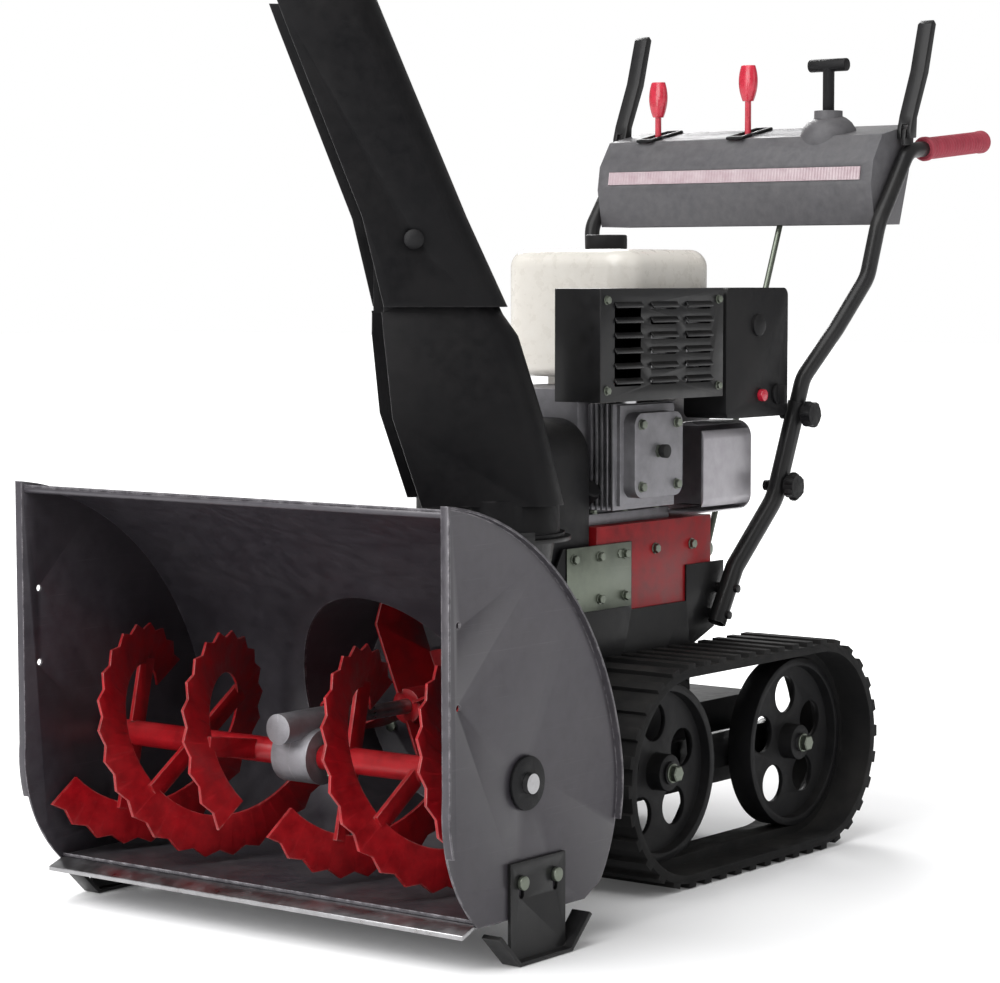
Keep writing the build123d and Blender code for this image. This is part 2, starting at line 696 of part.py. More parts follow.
with BuildPart() as hex_shaft:
    with BuildSketch(Plane.YZ.offset(-inside_half + 8)):
        with Locations((back(hex_back), hex_z)):
            RegularPolygon(9, 6)
    extrude(amount=2 * inside_half - 16)
    add(disc_x(hex_back, hex_z, -frame_half - 2, -inside_half + 8, 9))
    add(disc_x(hex_back, hex_z, inside_half - 8, frame_half + 2, 9))
    add(gear_x(hex_back, hex_z, 84, 100, pinion_teeth, gear_angle + math.pi + math.pi / pinion_teeth, 6))
write(hex_shaft, "hex_shaft")

friction_x = -30.0
with BuildPart() as friction_wheel:
    add(disc_x(hex_back, hex_z, friction_x - 6, friction_x + 6, friction_wheel_radius))
    add(disc_x(hex_back, hex_z, friction_x - 14, friction_x + 14, 18))
    with BuildSketch(Plane.YZ.offset(friction_x - 20)):
        with Locations((back(hex_back), hex_z)):
            RegularPolygon(9 + 0.1, 6)
    extrude(amount=40, mode=Mode.SUBTRACT)
write(friction_wheel, "friction_wheel")

hub_end_x = wheel_x + wheel_width + 8
with BuildPart() as drive_axle:
    add(disc_x(track_rear_back, wheel_z, -hub_end_x - 4, hub_end_x + 4, axle_radius))
    add(gear_x(track_rear_back, wheel_z, 84, 100, axle_gear_teeth, gear_angle, axle_radius - 2))
write(drive_axle, "drive_axle")


# ---------------------------------------------------------------- tracks
def oblong(radius, x0, x1):
    """Solid loop around both wheel axes, as wide as x0 to x1."""
    middle = back((track_front_back + track_rear_back) / 2)
    with BuildPart() as loop:
        with BuildSketch(Plane.YZ.offset(x0)):
            with Locations((middle, wheel_z)):
                SlotCenterToCenter(track_rear_back - track_front_back, 2 * radius)
        extrude(amount=x1 - x0)
    return loop.part


def lug_places():
    """Even steps along the outside of the track: middle (distance back, height) and turn in degrees."""
    run = track_rear_back - track_front_back
    radius = belt_outer_radius
    length = 2 * run + 2 * math.pi * radius
    places = []
    for lug in range(lug_count):
        travel = length * lug / lug_count
        if travel < run:
            places.append((track_front_back + travel, wheel_z - radius, 0.0))
        elif travel < run + math.pi * radius:
            turn = (travel - run) / radius
            places.append((track_rear_back + radius * math.sin(turn), wheel_z - radius * math.cos(turn),
                           math.degrees(turn)))
        elif travel < 2 * run + math.pi * radius:
            gone = travel - run - math.pi * radius
            places.append((track_rear_back - gone, wheel_z + radius, 180.0))
        else:
            turn = (travel - 2 * run - math.pi * radius) / radius
            places.append((track_front_back - radius * math.sin(turn), wheel_z + radius * math.cos(turn),
                           180.0 + math.degrees(turn)))
    return places


rail_half = wheel_width / 2 - 4
rail_x = wheel_x + wheel_width / 2
for side, side_name in zip(sides, ("left", "right")):
    near = side * track_gauge_inner
    far = side * (track_gauge_inner + track_width)
    with BuildPart() as track:
        add(oblong(belt_outer_radius, near, far))
        add(oblong(belt_inner_radius, near - side, far + side), mode=Mode.SUBTRACT)
        add(oblong(belt_inner_radius + 1, side * (rail_x - rail_half), side * (rail_x + rail_half)))
        add(oblong(wheel_radius + play, near - side, far + side), mode=Mode.SUBTRACT)
        for lug_back, lug_z, turn in lug_places():
            with Locations(Location(((near + far) / 2, back(lug_back), lug_z), (turn, 0, 0))):
                Box(track_width, lug_width, 2 * lug_height)
        add(oblong(belt_inner_radius, side * (rail_x + rail_half), far + side), mode=Mode.SUBTRACT)
        add(oblong(belt_inner_radius, side * (rail_x - rail_half), near - side), mode=Mode.SUBTRACT)
    write(track, "track_" + side_name)


def spoked_wheel(y_back, side, bore):
    """Moulded wheel with a rim, a web with round windows, and a hub."""
    x0 = side * wheel_x
    x1 = side * (wheel_x + wheel_width)
    middle = (x0 + x1) / 2
    with BuildPart() as wheel:
        add(disc_x(y_back, wheel_z, x0, x1, wheel_radius, wheel_radius - 12))
        add(disc_x(y_back, wheel_z, middle - 4, middle + 4, wheel_radius - 6))
        add(disc_x(y_back, wheel_z, x0, side * hub_end_x, 26))
        for window in range(5):
            turn = 2 * math.pi * (window + 0.3) / 5
            add(disc_x(y_back + 70 * math.cos(turn), wheel_z + 70 * math.sin(turn), middle - 10,
                middle + 10, 27),
                mode=Mode.SUBTRACT)
        add(disc_x(y_back, wheel_z, x0 - side * 5, side * (hub_end_x + 5), bore), mode=Mode.SUBTRACT)
    return wheel.part


stub_radius = 10.0
with BuildPart() as drive_wheels:
    for side in sides:
        add(spoked_wheel(track_rear_back, side, axle_radius + slip))
write(drive_wheels, "drive_wheels")

with BuildPart() as idler_wheels:
    for side in sides:
        add(spoked_wheel(track_front_back, side, stub_radius + slip))
write(idler_wheels, "idler_wheels")

beam_x = wheel_x - 19.0
with BuildPart() as track_frames:
    for side in sides:
        x0 = side * beam_x
        x1 = side * (beam_x + 12)
        add(block(x0, x1, track_front_back, track_rear_back, wheel_z - 26, wheel_z + 26))
        add(disc_x(track_front_back, wheel_z, x0, x1, 26))
        add(disc_x(track_rear_back, wheel_z, x0, x1, 30))
        add(disc_x(track_front_back, wheel_z, side * frame_half, side * (hub_end_x + 4), stub_radius))
        add(disc_x(track_front_back, wheel_z, side * frame_half, side * (frame_half + 6), 28))
        add(disc_x(track_front_back, wheel_z, side * (hub_end_x + play), side * (hub_end_x + 4), 16))
        add(disc_x(track_rear_back, wheel_z, x0 - side * 4, x1 + side * 4, axle_radius + slip),
            mode=Mode.SUBTRACT)
write(track_frames, "track_frames")

# ---------------------------------------------------------------- handles
joint_low = (168.0, 1044.0, 515.0)
joint_high = (201.0, 1068.0, 695.0)
grip_start = (handle_half, 1264.0, 1038.0)
grip_end = (handle_half, 1496.0, 1060.0)


def between(start, end, share):
    return tuple(a + (b - a) * share for a, b in zip(start, end))


def placed(point, side):
    return (side * point[0], back(point[1]), point[2])


lower_route = [(frame_half + lower_tube_radius + 0.3, 925.0, 335.0),
    (frame_half + lower_tube_radius + 4, 968.0, 415.0),
               joint_low, between(joint_low, joint_high, 0.80)]
upper_route = [between(joint_low, joint_high, 0.45), joint_high, (228.0, 1119.0, 768.0),
    (254.0, 1164.0, 845.0),
               (handle_half, 1176.0, 925.0), grip_start, grip_end]
knob_shares = (0.10, 0.70)


def knob_bar(side, share, radius, reach0, reach1):
    spot = between(joint_low, joint_high, share)
    return bar((side * (spot[0] + reach0), back(spot[1]), spot[2]),
        (side * (spot[0] + reach1), back(spot[1]), spot[2]),
               radius)


with BuildPart() as handle_lower:
    for side in sides:
        add(tube_along([placed(p, side) for p in lower_route], [45, 60], lower_tube_radius,
            tube_radius + 0.2))
        for share in knob_shares:
            add(knob_bar(side, share, 4.1, -25, 25), mode=Mode.SUBTRACT)
        for bolt_share in (0.15, 0.62):
            spot = between(lower_route[0], lower_route[1], bolt_share)
            add(bar((side * (frame_half + 0.1), back(spot[1]), spot[2]),
                (side * (spot[0]), back(spot[1]), spot[2]), 8))
            add(bar((side * (spot[0] - 4), back(spot[1]), spot[2]),
                    (side * (spot[0] + lower_tube_radius + 5), back(spot[1]), spot[2]), 6))
write(handle_lower, "handle_lower")

lever_pivot = (handle_half, grip_start[1] - 4.0, grip_start[2] + lever_pivot_rise)
pin_radius = 4.0
with BuildPart() as handle_upper:
    for side in sides:
        add(tube_along([placed(p, side) for p in upper_route], [45, 55, 60, 45, 42], tube_radius,
                       tube_radius - tube_wall))
        add(knob_bar(side, knob_shares[1], 4.1, -25, 25), mode=Mode.SUBTRACT)
        with BuildPart(mode=Mode.PRIVATE) as ear:
            add(side_prism([(lever_pivot[1] - 12, lever_pivot[2] - 16),
                (lever_pivot[1] - 8, lever_pivot[2] + 8),
                            (lever_pivot[1] + 8, lever_pivot[2] + 8), (lever_pivot[1] + 12,
                                lever_pivot[2] - 15)],
                           side * (handle_half - 3), side * (handle_half + 3)))
            add(disc_x(lever_pivot[1], lever_pivot[2], side * (handle_half - 6), side * (handle_half + 6),
                       pin_radius + slip), mode=Mode.SUBTRACT)
        add(ear.part)
write(handle_upper, "handle_upper")

with BuildPart() as handle_knobs:
    for side in sides:
        for share in knob_shares:
            add(knob_bar(side, share, 4, -lower_tube_radius - 8, lower_tube_radius + 14))
            add(knob_bar(side, share, 8, -lower_tube_radius - 8, -lower_tube_radius - 2))
            add(knob_bar(side, share, 17, lower_tube_radius + 5, lower_tube_radius + 22))
            add(knob_bar(side, share, 9, lower_tube_radius + 2, lower_tube_radius + 6))
write(handle_knobs, "handle_knobs")

with BuildPart() as hand_grips:
    for side in sides:
        begin = between(grip_start, grip_end, 0.20)
        add(bar(placed(begin, side), placed(between(grip_start, grip_end, 1.02), side), grip_radius))
        add(bar(placed(grip_start, side), placed(grip_end, side), tube_radius + 0.1), mode=Mode.SUBTRACT)
write(hand_grips, "hand_grips")

lever_tip = (handle_half, 1322.0, 1240.0)
for side, lever_name in ((1, "auger_clutch_lever"), (-1, "drive_clutch_lever")):
    with BuildPart() as clutch_lever:
        y0, z0 = lever_pivot[1], lever_pivot[2]
        add(side_prism([(y0 - 9, z0 - 6), (y0 - 9, z0 + 8), (y0 - 2, z0 + 30),
            (lever_tip[1] - 32, z0 + 100),
                        (lever_tip[1] - 10, lever_tip[2] - 6), (lever_tip[1] - 2, lever_tip[2]),
                        (lever_tip[1] + 5, lever_tip[2] - 6), (lever_tip[1] - 17, z0 + 96), (y0 + 11,
                            z0 + 26),
                        (y0 + 9, z0 - 4)],
                       side * (handle_half - lever_width / 2), side * (handle_half + lever_width / 2)))
        add(side_prism([(y0 - 20, z0 - 20), (y0 - 20, z0 + 16), (y0 + 24, z0 + 16), (y0 + 24, z0 - 20)],
                       side * (handle_half - 5), side * (handle_half + 5)), mode=Mode.SUBTRACT)
        add(disc_x(y0, z0, side * (handle_half - lever_width / 2),
            side * (handle_half + lever_width / 2), pin_radius))
    write(clutch_lever, lever_name)

# ---------------------------------------------------------------- dash and its controls
dash_half = handle_half - tube_radius - 0.1
control_back = 1240.0
control_z = 1008.0
lens_low, lens_high = 993.0, 1013.0
tilt_x, shift_x, crank_x = -180.0, -9.0, 138.0
top_z = 1070.0
lever_half = 6.0
dash_outline = [(1186, 926), (1174, 985), (1180, 1022), (1208, 1062), (1296, 1080), (1304, 1066),
    (1300, 1040),
                (1262, 926)]
dash_inside = [(1190, 920), (1178, 985), (1184, 1020), (1210, 1058.5), (1294, 1076), (1300, 1066),
    (1296, 1041),
               (1256, 920)]
with BuildPart() as dash_panel:
    add(side_prism(dash_outline, -dash_half, dash_half))
    add(side_prism(dash_inside, -dash_half + dash_sheet, dash_half - dash_sheet), mode=Mode.SUBTRACT)
    add(bar((crank_x, back(1240), top_z - 5), (crank_x, back(1240), top_z + 32), 22))
    for lever_x in (tilt_x, shift_x):
        for side in sides:
            add(block(lever_x + side * 12, lever_x + side * 16, control_back - 12, control_back + 12,
                control_z - 12,
                      top_z))
    for lever_x in (tilt_x, shift_x):
        add(disc_x(control_back, control_z, lever_x - 20, lever_x + 20, 5 + slip), mode=Mode.SUBTRACT)
        add(block(lever_x - lever_half - 3, lever_x + lever_half + 3, 1206, 1284, top_z - 20, top_z + 20),
            mode=Mode.SUBTRACT)
    add(bar((crank_x, back(1240), 1000), (crank_x, back(1240), 1200), 6 + slip), mode=Mode.SUBTRACT)
    add(block(-dash_half + 20, dash_half - 20, 1165, 1192, lens_low - 0.5, lens_high + 0.5),
        mode=Mode.SUBTRACT)
write(dash_panel, "dash_panel")


def along(line, z):
    """Distance behind the mouth of a slanting line at a height."""
    (y0, z0), (y1, z1) = line
    return y0 + (y1 - y0) * (z - z0) / (z1 - z0)


front_line, inner_line = dash_outline[1:3], dash_inside[1:3]
with BuildPart() as headlight_lens:
    add(side_prism([(along(front_line, lens_low) - 1, lens_low),
        (along(inner_line, lens_low) + 2, lens_low),
                    (along(inner_line, lens_high) + 2, lens_high), (along(front_line, lens_high) - 1,
                        lens_high)],
                   -dash_half + 20.5, dash_half - 20.5))
    add(side_prism([(along(inner_line, z) + step, z) for z, step in
                    ((lens_low - 4, 0.1), (lens_low - 4, 2.1), (lens_high + 4, 2.1), (lens_high + 4, 0.1))],
                   -dash_half + 14, dash_half - 14))
write(headlight_lens, "headlight_lens")

for lever_x, lever_top, lever_name in ((tilt_x, 1158.0, "tilt_lever"), (shift_x, 1178.0, "shift_lever")):
    with BuildPart() as control_lever:
        add(disc_x(control_back, control_z, lever_x - 16, lever_x + 16, 5))
        add(disc_x(control_back, control_z, lever_x - 11, lever_x + 11, 10))
        add(bar((lever_x, back(control_back), control_z - 38),
            (lever_x, back(control_back), lever_top - 20), 5))
        with BuildSketch(Plane.XY.offset(lever_top - 56)):
            with Locations((lever_x, back(control_back))):
                Ellipse(9, 8)
        with BuildSketch(Plane.XY.offset(lever_top - 18)):
            with Locations((lever_x, back(control_back))):
                Ellipse(16, 11)
        with BuildSketch(Plane.XY.offset(lever_top)):
            with Locations((lever_x, back(control_back))):
                Ellipse(12, 8)
        loft()
    write(control_lever, lever_name)

with BuildPart() as chute_handle:
    add(bar((crank_x, back(1240), 1046), (crank_x, back(1240), 1176), 6))
    add(bar((crank_x, back(1240), 1040), (crank_x, back(1240), 1052), 11))
    add(bar((crank_x - 33, back(1240), 1172), (crank_x + 33, back(1240), 1172), 10))
    add(bar((crank_x, back(1240), top_z + 32.3), (crank_x, back(1240), 1172), 9))
write(chute_handle, "chute_handle")

rod_top = (70.0, 1224.0, 960.0)
rod_low = (100.0, 962.0, 440.0)
with BuildPart() as shift_rod:
    add(bar(placed(rod_top, 1), placed(rod_low, 1), 4.5))
    add(disc_x(rod_low[1], rod_low[2], rod_low[0] - 4, rod_low[0] + 4, 11))
    add(disc_x(rod_top[1], rod_top[2], rod_top[0] - 4, rod_top[0] + 4, 10))
write(shift_rod, "shift_rod")

# ---------------------------------------------------------------- chute
aim = (-math.sin(math.radians(chute_yaw)), -math.cos(math.radians(chute_yaw)), 0.0)


def chute_outline(z, rear, front, half, corner):
    """D-shaped outline across the chute's lean, with its round corners towards the rear."""
    swing = corner * (1 - math.cos(math.pi / 4))
    with BuildSketch(Plane(origin=(chute_x, back(chute_back), z), x_dir=aim, z_dir=(0, 0, 1))) as outline:
        with BuildLine():
            Line((front, -half), (front, half))
            Line((front, half), (rear + corner, half))
            ThreePointArc((rear + corner, half), (rear + swing, half - swing), (rear, half - corner))
            Line((rear, half - corner), (rear, corner - half))
            ThreePointArc((rear, corner - half), (rear + swing, swing - half), (rear + corner, -half))
            Line((rear + corner, -half), (front, -half))
        make_face()
    return outline.sketch


def trough(sections, corner, wall):
    """Chute wall, open towards its front, through (height, rear, front, half width) sections."""
    with BuildPart() as shell:
        for inset, reach, mode in ((0.0, 0.0, Mode.ADD), (wall, 20.0, Mode.SUBTRACT)):
            for start, end in zip(sections, sections[1:]):
                with BuildPart(mode=Mode.PRIVATE) as stretch:
                    for z, rear, front, half in (start, end):
                        add(chute_outline(z, rear + inset, front + reach, half - inset, corner - inset))
                    loft(ruled=True)
                add(stretch.part, mode=mode)
    return shell.part


def chute_block(reach0, reach1, half, z0, z1):
    """Box in the chute's own directions."""
    with BuildPart() as piece:
        with BuildSketch(Plane(origin=(chute_x, back(chute_back), z0), x_dir=aim, z_dir=(0, 0, 1))):
            with Locations(((reach0 + reach1) / 2, 0)):
                Rectangle(reach1 - reach0, 2 * half)
        extrude(amount=z1 - z0)
    return piece.part


def across_chute(reach, z, half0, half1, radius):
    """Round bar square to the chute's lean, on both sides of it."""
    sideways = Vector(-aim[1], aim[0], 0)
    middle = Vector(chute_x, back(chute_back), z) + Vector(*aim) * reach
    with BuildPart() as piece:
        for side in sides:
            add(bar(tuple(middle + sideways * (side * half0)),
                tuple(middle + sideways * (side * half1)), radius))
    return piece.part


ring_radius = 97.0
shoulder_z = 796.0
tail_z = 832.0
ear_top_z = 925.0
ear_half = 72.0
with BuildPart() as chute_lower:
    add(trough(((543, -95, 100, 94.6), (660, -67, 138, 92), (768, -34, 149, 88),
                (shoulder_z, -16, 150, ear_half + 0.5), (ear_top_z, 48, 168, ear_half)), 42, chute_wall))
    add(chute_block(-200, 62, 120, tail_z, 1000), mode=Mode.SUBTRACT)
    add(chute_block(148, 260, 120, shoulder_z + 4, 1000), mode=Mode.SUBTRACT)
    add(disc_z(chute_x, chute_back, neck_top_z + play, 550, ring_radius, ring_radius - 4))
    add(disc_z(chute_x, chute_back, neck_top_z + play, neck_top_z + 5.5, flange_radius, ring_radius - 4))
    add(across_chute(pivot_reach, pivot_z, ear_half - 5, 84, pivot_radius))
    add(across_chute(pivot_reach, pivot_z, 80, 84, 10))
write(chute_lower, "chute_lower")

with BuildPart() as chute_deflector:
    add(trough(((806, -21, 148, 81.5), (924, 33, 176, 78), (1180, 139, 276, 69), (1212, 152, 288, 68)),
               42, chute_wall))
    add(across_chute(pivot_reach, pivot_z, 60, 90, pivot_radius + slip), mode=Mode.SUBTRACT)
write(chute_deflector, "chute_deflector")

# ---------------------------------------------------------------- engine
case_front, case_rear = 640.0, 852.0
case_half = 96.0
case_top = 688.0
flywheel_back = 872.0
flywheel_radius = 74.0
blower_front, blower_rear = case_rear, 984.0
blower_radius = 120.0
scoop_x = 166.0
scoop_top = 634.0
recoil_x = 30.0
recoil_z = crank_z + 40.0
with BuildPart() as crankcase:
    with BuildSketch(Plane.XZ.offset(-back(case_front))):
        with Locations((-2, (deck_z + case_top) / 2)):
            RectangleRounded(2 * case_half, case_top - deck_z, 22)
        with Locations((-2, deck_z + 8)):
            Rectangle(2 * case_half + 24, 16)
    extrude(amount=-(case_rear - case_front))
    add(block(-62, 62, case_front + 16, case_rear - 16, deck_z + 20, case_top - 20), mode=Mode.SUBTRACT)
    add(disc_y(0, crank_z, case_front - 1, case_rear + 1, crank_radius + slip), mode=Mode.SUBTRACT)
    add(block(62, 100, 692, 772, 560, 650), mode=Mode.SUBTRACT)
write(crankcase, "crankcase")

head_x0 = case_half - 2
with BuildPart() as cylinder_head:
    add(block(head_x0, 150, 664, 800, 524, 666))
    for fin in range(5):
        fin_x = head_x0 + 10 + 9 * fin
        add(block(fin_x, fin_x + 4, 655, 809, 518, 668))
    with BuildSketch(Plane.YZ.offset(150)):
        with Locations((back(732), 595)):
            RectangleRounded(120, 120, 18)
    extrude(amount=20)
    add(disc_x(732, 605, head_x0 - 1, 140, 38), mode=Mode.SUBTRACT)
write(cylinder_head, "cylinder_head")

with BuildPart() as crankshaft:
    add(disc_y(0, crank_z, 556, flywheel_back + 40, crank_radius))
    for web_back in (716, 744):
        add(disc_y(0, crank_z, web_back, web_back + 12, 44))
    add(disc_y(0, crank_z, flywheel_back, flywheel_back + 30, flywheel_radius))
write(crankshaft, "crankshaft")

with BuildPart() as recoil_cover:
    add(disc_y(0, crank_z, blower_front, blower_rear - 22, blower_radius))
    add(disc_y(0, crank_z, blower_rear - 24, blower_rear, 88))
    add(block(-150, 150, blower_front - 5, blower_rear + 5, 400, deck_z + 2), mode=Mode.SUBTRACT)
    add(block(40, scoop_x, blower_front, blower_rear - 4, deck_z + 6, scoop_top))
    fillet(recoil_cover.edges().filter_by(Axis.Y).sort_by(Axis.X)[-2:], radius=24)
    add(disc_y(0, crank_z, blower_front - 1, blower_rear - 26, blower_radius - 4), mode=Mode.SUBTRACT)
    add(block(20, scoop_x - 4, blower_front - 1, blower_rear - 8, deck_z + 10, scoop_top - 4),
        mode=Mode.SUBTRACT)
    add(disc_y(0, crank_z, blower_front + 10, blower_rear - 4, 84), mode=Mode.SUBTRACT)
    add(block(-110, 110, blower_front - 5, blower_rear - 26, 400, deck_z + 4), mode=Mode.SUBTRACT)
    add(disc_y(recoil_x, recoil_z, blower_rear - 10, blower_rear + 5, 7), mode=Mode.SUBTRACT)
write(recoil_cover, "recoil_cover")

with BuildPart() as recoil_handle:
    add(disc_y(recoil_x, recoil_z, blower_rear - 3, blower_rear + 22, 5))
    add(disc_x(blower_rear + 22, recoil_z, recoil_x - 30, recoil_x + 30, 9))
write(recoil_handle, "recoil_handle")

guard_x0, guard_x1 = 112.0, 190.0
guard_front, guard_rear = 560.0, 866.0
guard_low, guard_top = 674.0, 830.0
guard_sheet = 2.0
with BuildPart() as muffler_guard:
    add(block(guard_x0, guard_x1, guard_front, guard_rear, guard_low, guard_top))
    add(block(guard_x0 + guard_sheet, guard_x1 - guard_sheet, guard_front + guard_sheet,
        guard_rear - guard_sheet,
              guard_low - 1, guard_top - guard_sheet), mode=Mode.SUBTRACT)
    for column in range(3):
        for row in range(6):
            slot_back = guard_front + 34 + 88 * column
            slot_z = guard_low + 22 + 21 * row
            add(block(guard_x1 - 5, guard_x1 + 5, slot_back, slot_back + 62, slot_z, slot_z + 8),
                mode=Mode.SUBTRACT)
write(muffler_guard, "muffler_guard")

with BuildPart() as muffler:
    with BuildSketch(Plane.YZ.offset(guard_x0 + 8)):
        with Locations((back((guard_front + guard_rear) / 2), (guard_low + guard_top) / 2 + 2)):
            RectangleRounded(guard_rear - guard_front - 40, guard_top - guard_low - 32, 40)
    extrude(amount=guard_x1 - guard_x0 - 18)
    add(bar((guard_x0 + 30, back(690), 668), (guard_x0 + 30, back(690), 700), 15))
    with BuildSketch(Plane.YZ.offset(guard_x0 + 10)):
        with Locations((back((guard_front + guard_rear) / 2), (guard_low + guard_top) / 2 + 2)):
            RectangleRounded(guard_rear - guard_front - 44, guard_top - guard_low - 36, 38)
    extrude(amount=guard_x1 - guard_x0 - 22, mode=Mode.SUBTRACT)
    add(bar((guard_x0 + 30, back(690), 660), (guard_x0 + 30, back(690), 702), 12), mode=Mode.SUBTRACT)
write(muffler, "muffler")

box_front, box_rear = 874.0, 1042.0
choke_back, choke_z = 1012.0, 672.0
primer_back, primer_radius = 968.0, 9.0
with BuildPart() as air_box:
    with BuildSketch(Plane.YZ.offset(116)):
        with Locations((back((box_front + box_rear) / 2), 735)):
            RectangleRounded(box_rear - box_front, 190, 12)
    extrude(amount=guard_x1 - 116)
    with BuildSketch(Plane.YZ.offset(115)):
        with Locations((back((box_front + box_rear) / 2), 735)):
            RectangleRounded(box_rear - box_front - 6, 184, 9)
    extrude(amount=guard_x1 - 116 - 2, mode=Mode.SUBTRACT)
    add(disc_x(choke_back, choke_z, guard_x1 - 10, guard_x1 + 1, 4 + slip), mode=Mode.SUBTRACT)
    add(disc_x(primer_back, choke_z, guard_x1 - 10, guard_x1 + 1, primer_radius + play), mode=Mode.SUBTRACT)
write(air_box, "air_box")

with BuildPart() as choke_knob:
    add(disc_x(choke_back, choke_z, guard_x1 - 8, guard_x1 + 4, 4))
    add(disc_x(choke_back, choke_z, guard_x1 + 0.5, guard_x1 + 5, 15))
    add(block(guard_x1 + 4, guard_x1 + 16, choke_back - 3.5, choke_back + 3.5, choke_z - 14, choke_z + 14))
write(choke_knob, "choke_knob")

with BuildPart() as primer_button:
    add(disc_x(primer_back, choke_z, guard_x1 - 8, guard_x1 + 8, primer_radius))
write(primer_button, "primer_button")

tank_x0, tank_x1 = -130.0, 100.0
tank_front, tank_rear = 752.0, 988.0
tank_low, tank_top = 700.0, 886.0
cap_x, cap_back = -15.0, 862.0
with BuildPart() as fuel_tank:
    add(block(tank_x0, tank_x1, tank_front, tank_rear, tank_low, tank_top))
    fillet(fuel_tank.edges().filter_by(Axis.Z), radius=42)
    fillet(fuel_tank.faces().sort_by(Axis.Z)[-1].edges(), radius=26)
    fillet(fuel_tank.faces().sort_by(Axis.Z)[0].edges(), radius=14)
    add(disc_z(cap_x, cap_back, tank_top - 6, tank_top + 8, 24))
    with BuildPart(mode=Mode.PRIVATE) as tank_hollow:
        add(block(tank_x0 + 4, tank_x1 - 4, tank_front + 4, tank_rear - 4, tank_low + 4, tank_top - 4))
        fillet(tank_hollow.edges().filter_by(Axis.Z), radius=38)
        fillet(tank_hollow.faces().sort_by(Axis.Z)[-1].edges(), radius=22)
        fillet(tank_hollow.faces().sort_by(Axis.Z)[0].edges(), radius=10)
    add(tank_hollow.part, mode=Mode.SUBTRACT)
    add(disc_z(cap_x, cap_back, tank_top - 20, tank_top + 10, 20), mode=Mode.SUBTRACT)
    add(block(-70, -50, tank_front + 40, tank_rear - 90, case_top, tank_low + 2))
    add(block(30, 50, tank_front + 40, tank_rear - 140, case_top, tank_low + 2))
write(fuel_tank, "fuel_tank")

with BuildPart() as fuel_cap:
    add(disc_z(cap_x, cap_back, tank_top + 1, tank_top + 22, 31, 24.3))
    add(disc_z(cap_x, cap_back, tank_top + 9, tank_top + 22, 29))
    add(disc_z(cap_x, cap_back, tank_top + 2, tank_top + 10, 19.5))
write(fuel_cap, "fuel_cap")

print("parts written:", len(os.listdir("parts")))
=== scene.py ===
import bpy
import json
import math
from mathutils import Matrix, Vector


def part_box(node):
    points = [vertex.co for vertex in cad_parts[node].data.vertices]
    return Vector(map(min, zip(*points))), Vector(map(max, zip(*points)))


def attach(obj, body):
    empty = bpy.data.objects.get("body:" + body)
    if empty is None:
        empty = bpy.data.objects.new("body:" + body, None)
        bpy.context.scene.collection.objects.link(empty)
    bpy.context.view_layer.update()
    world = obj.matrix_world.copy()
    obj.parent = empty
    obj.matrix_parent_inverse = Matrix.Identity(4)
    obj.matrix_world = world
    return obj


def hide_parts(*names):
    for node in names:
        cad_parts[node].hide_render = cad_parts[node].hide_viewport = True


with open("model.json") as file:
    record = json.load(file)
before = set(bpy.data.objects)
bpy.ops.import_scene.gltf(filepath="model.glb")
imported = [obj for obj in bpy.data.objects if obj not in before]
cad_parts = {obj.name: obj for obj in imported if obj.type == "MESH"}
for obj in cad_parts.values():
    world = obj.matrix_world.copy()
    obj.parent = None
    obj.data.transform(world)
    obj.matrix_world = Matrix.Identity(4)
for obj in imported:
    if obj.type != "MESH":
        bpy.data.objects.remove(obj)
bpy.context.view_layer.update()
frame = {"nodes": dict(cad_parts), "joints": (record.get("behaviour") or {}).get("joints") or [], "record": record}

nodes = frame["nodes"]
both = (1, -1)
bodyOf = {}
for bodyName, members in frame["record"]["behaviour"]["bodies"].items():
    for member in members:
        bodyOf[member] = bodyName
slotOf = {entry["node"]: entry["material_slot"] for entry in frame["record"]["subparts"]}

studio = {
    "cameraPlace": (2.53398, -3.49337, 0.84523),
    "cameraTurn": (math.radians(85.87), 0, math.radians(37.31)),
    "lens": 106.79,
    "floorSize": 60,
    "lamps": (("keyLamp", (-0.3, -3.6, 1.9), 90, 2.4), ("sideLamp", (3.4, -0.4, 1.8), 14, 2.0),
              ("rimLamp", (-2.4, 2.6, 2.8), 90, 1.6)),
    "lampAim": (0, 0, 0.55),
    "sunTurn": (math.radians(34), math.radians(-4), 0),
    "sunPower": 2.3,
    "sunWidth": math.radians(55),
    "worldLight": 0.38,
    "sensor": 36,
    "floorDrop": 0.001,
}
smoothAngle = math.radians(38)


def clearSelection():
    if bpy.context.object is not None and bpy.context.object.mode != "OBJECT":
        bpy.ops.object.mode_set(mode="OBJECT")
    bpy.ops.object.select_all(action="DESELECT")


def makeActive(piece):
    clearSelection()
    piece.select_set(True)
    bpy.context.view_layer.objects.active = piece


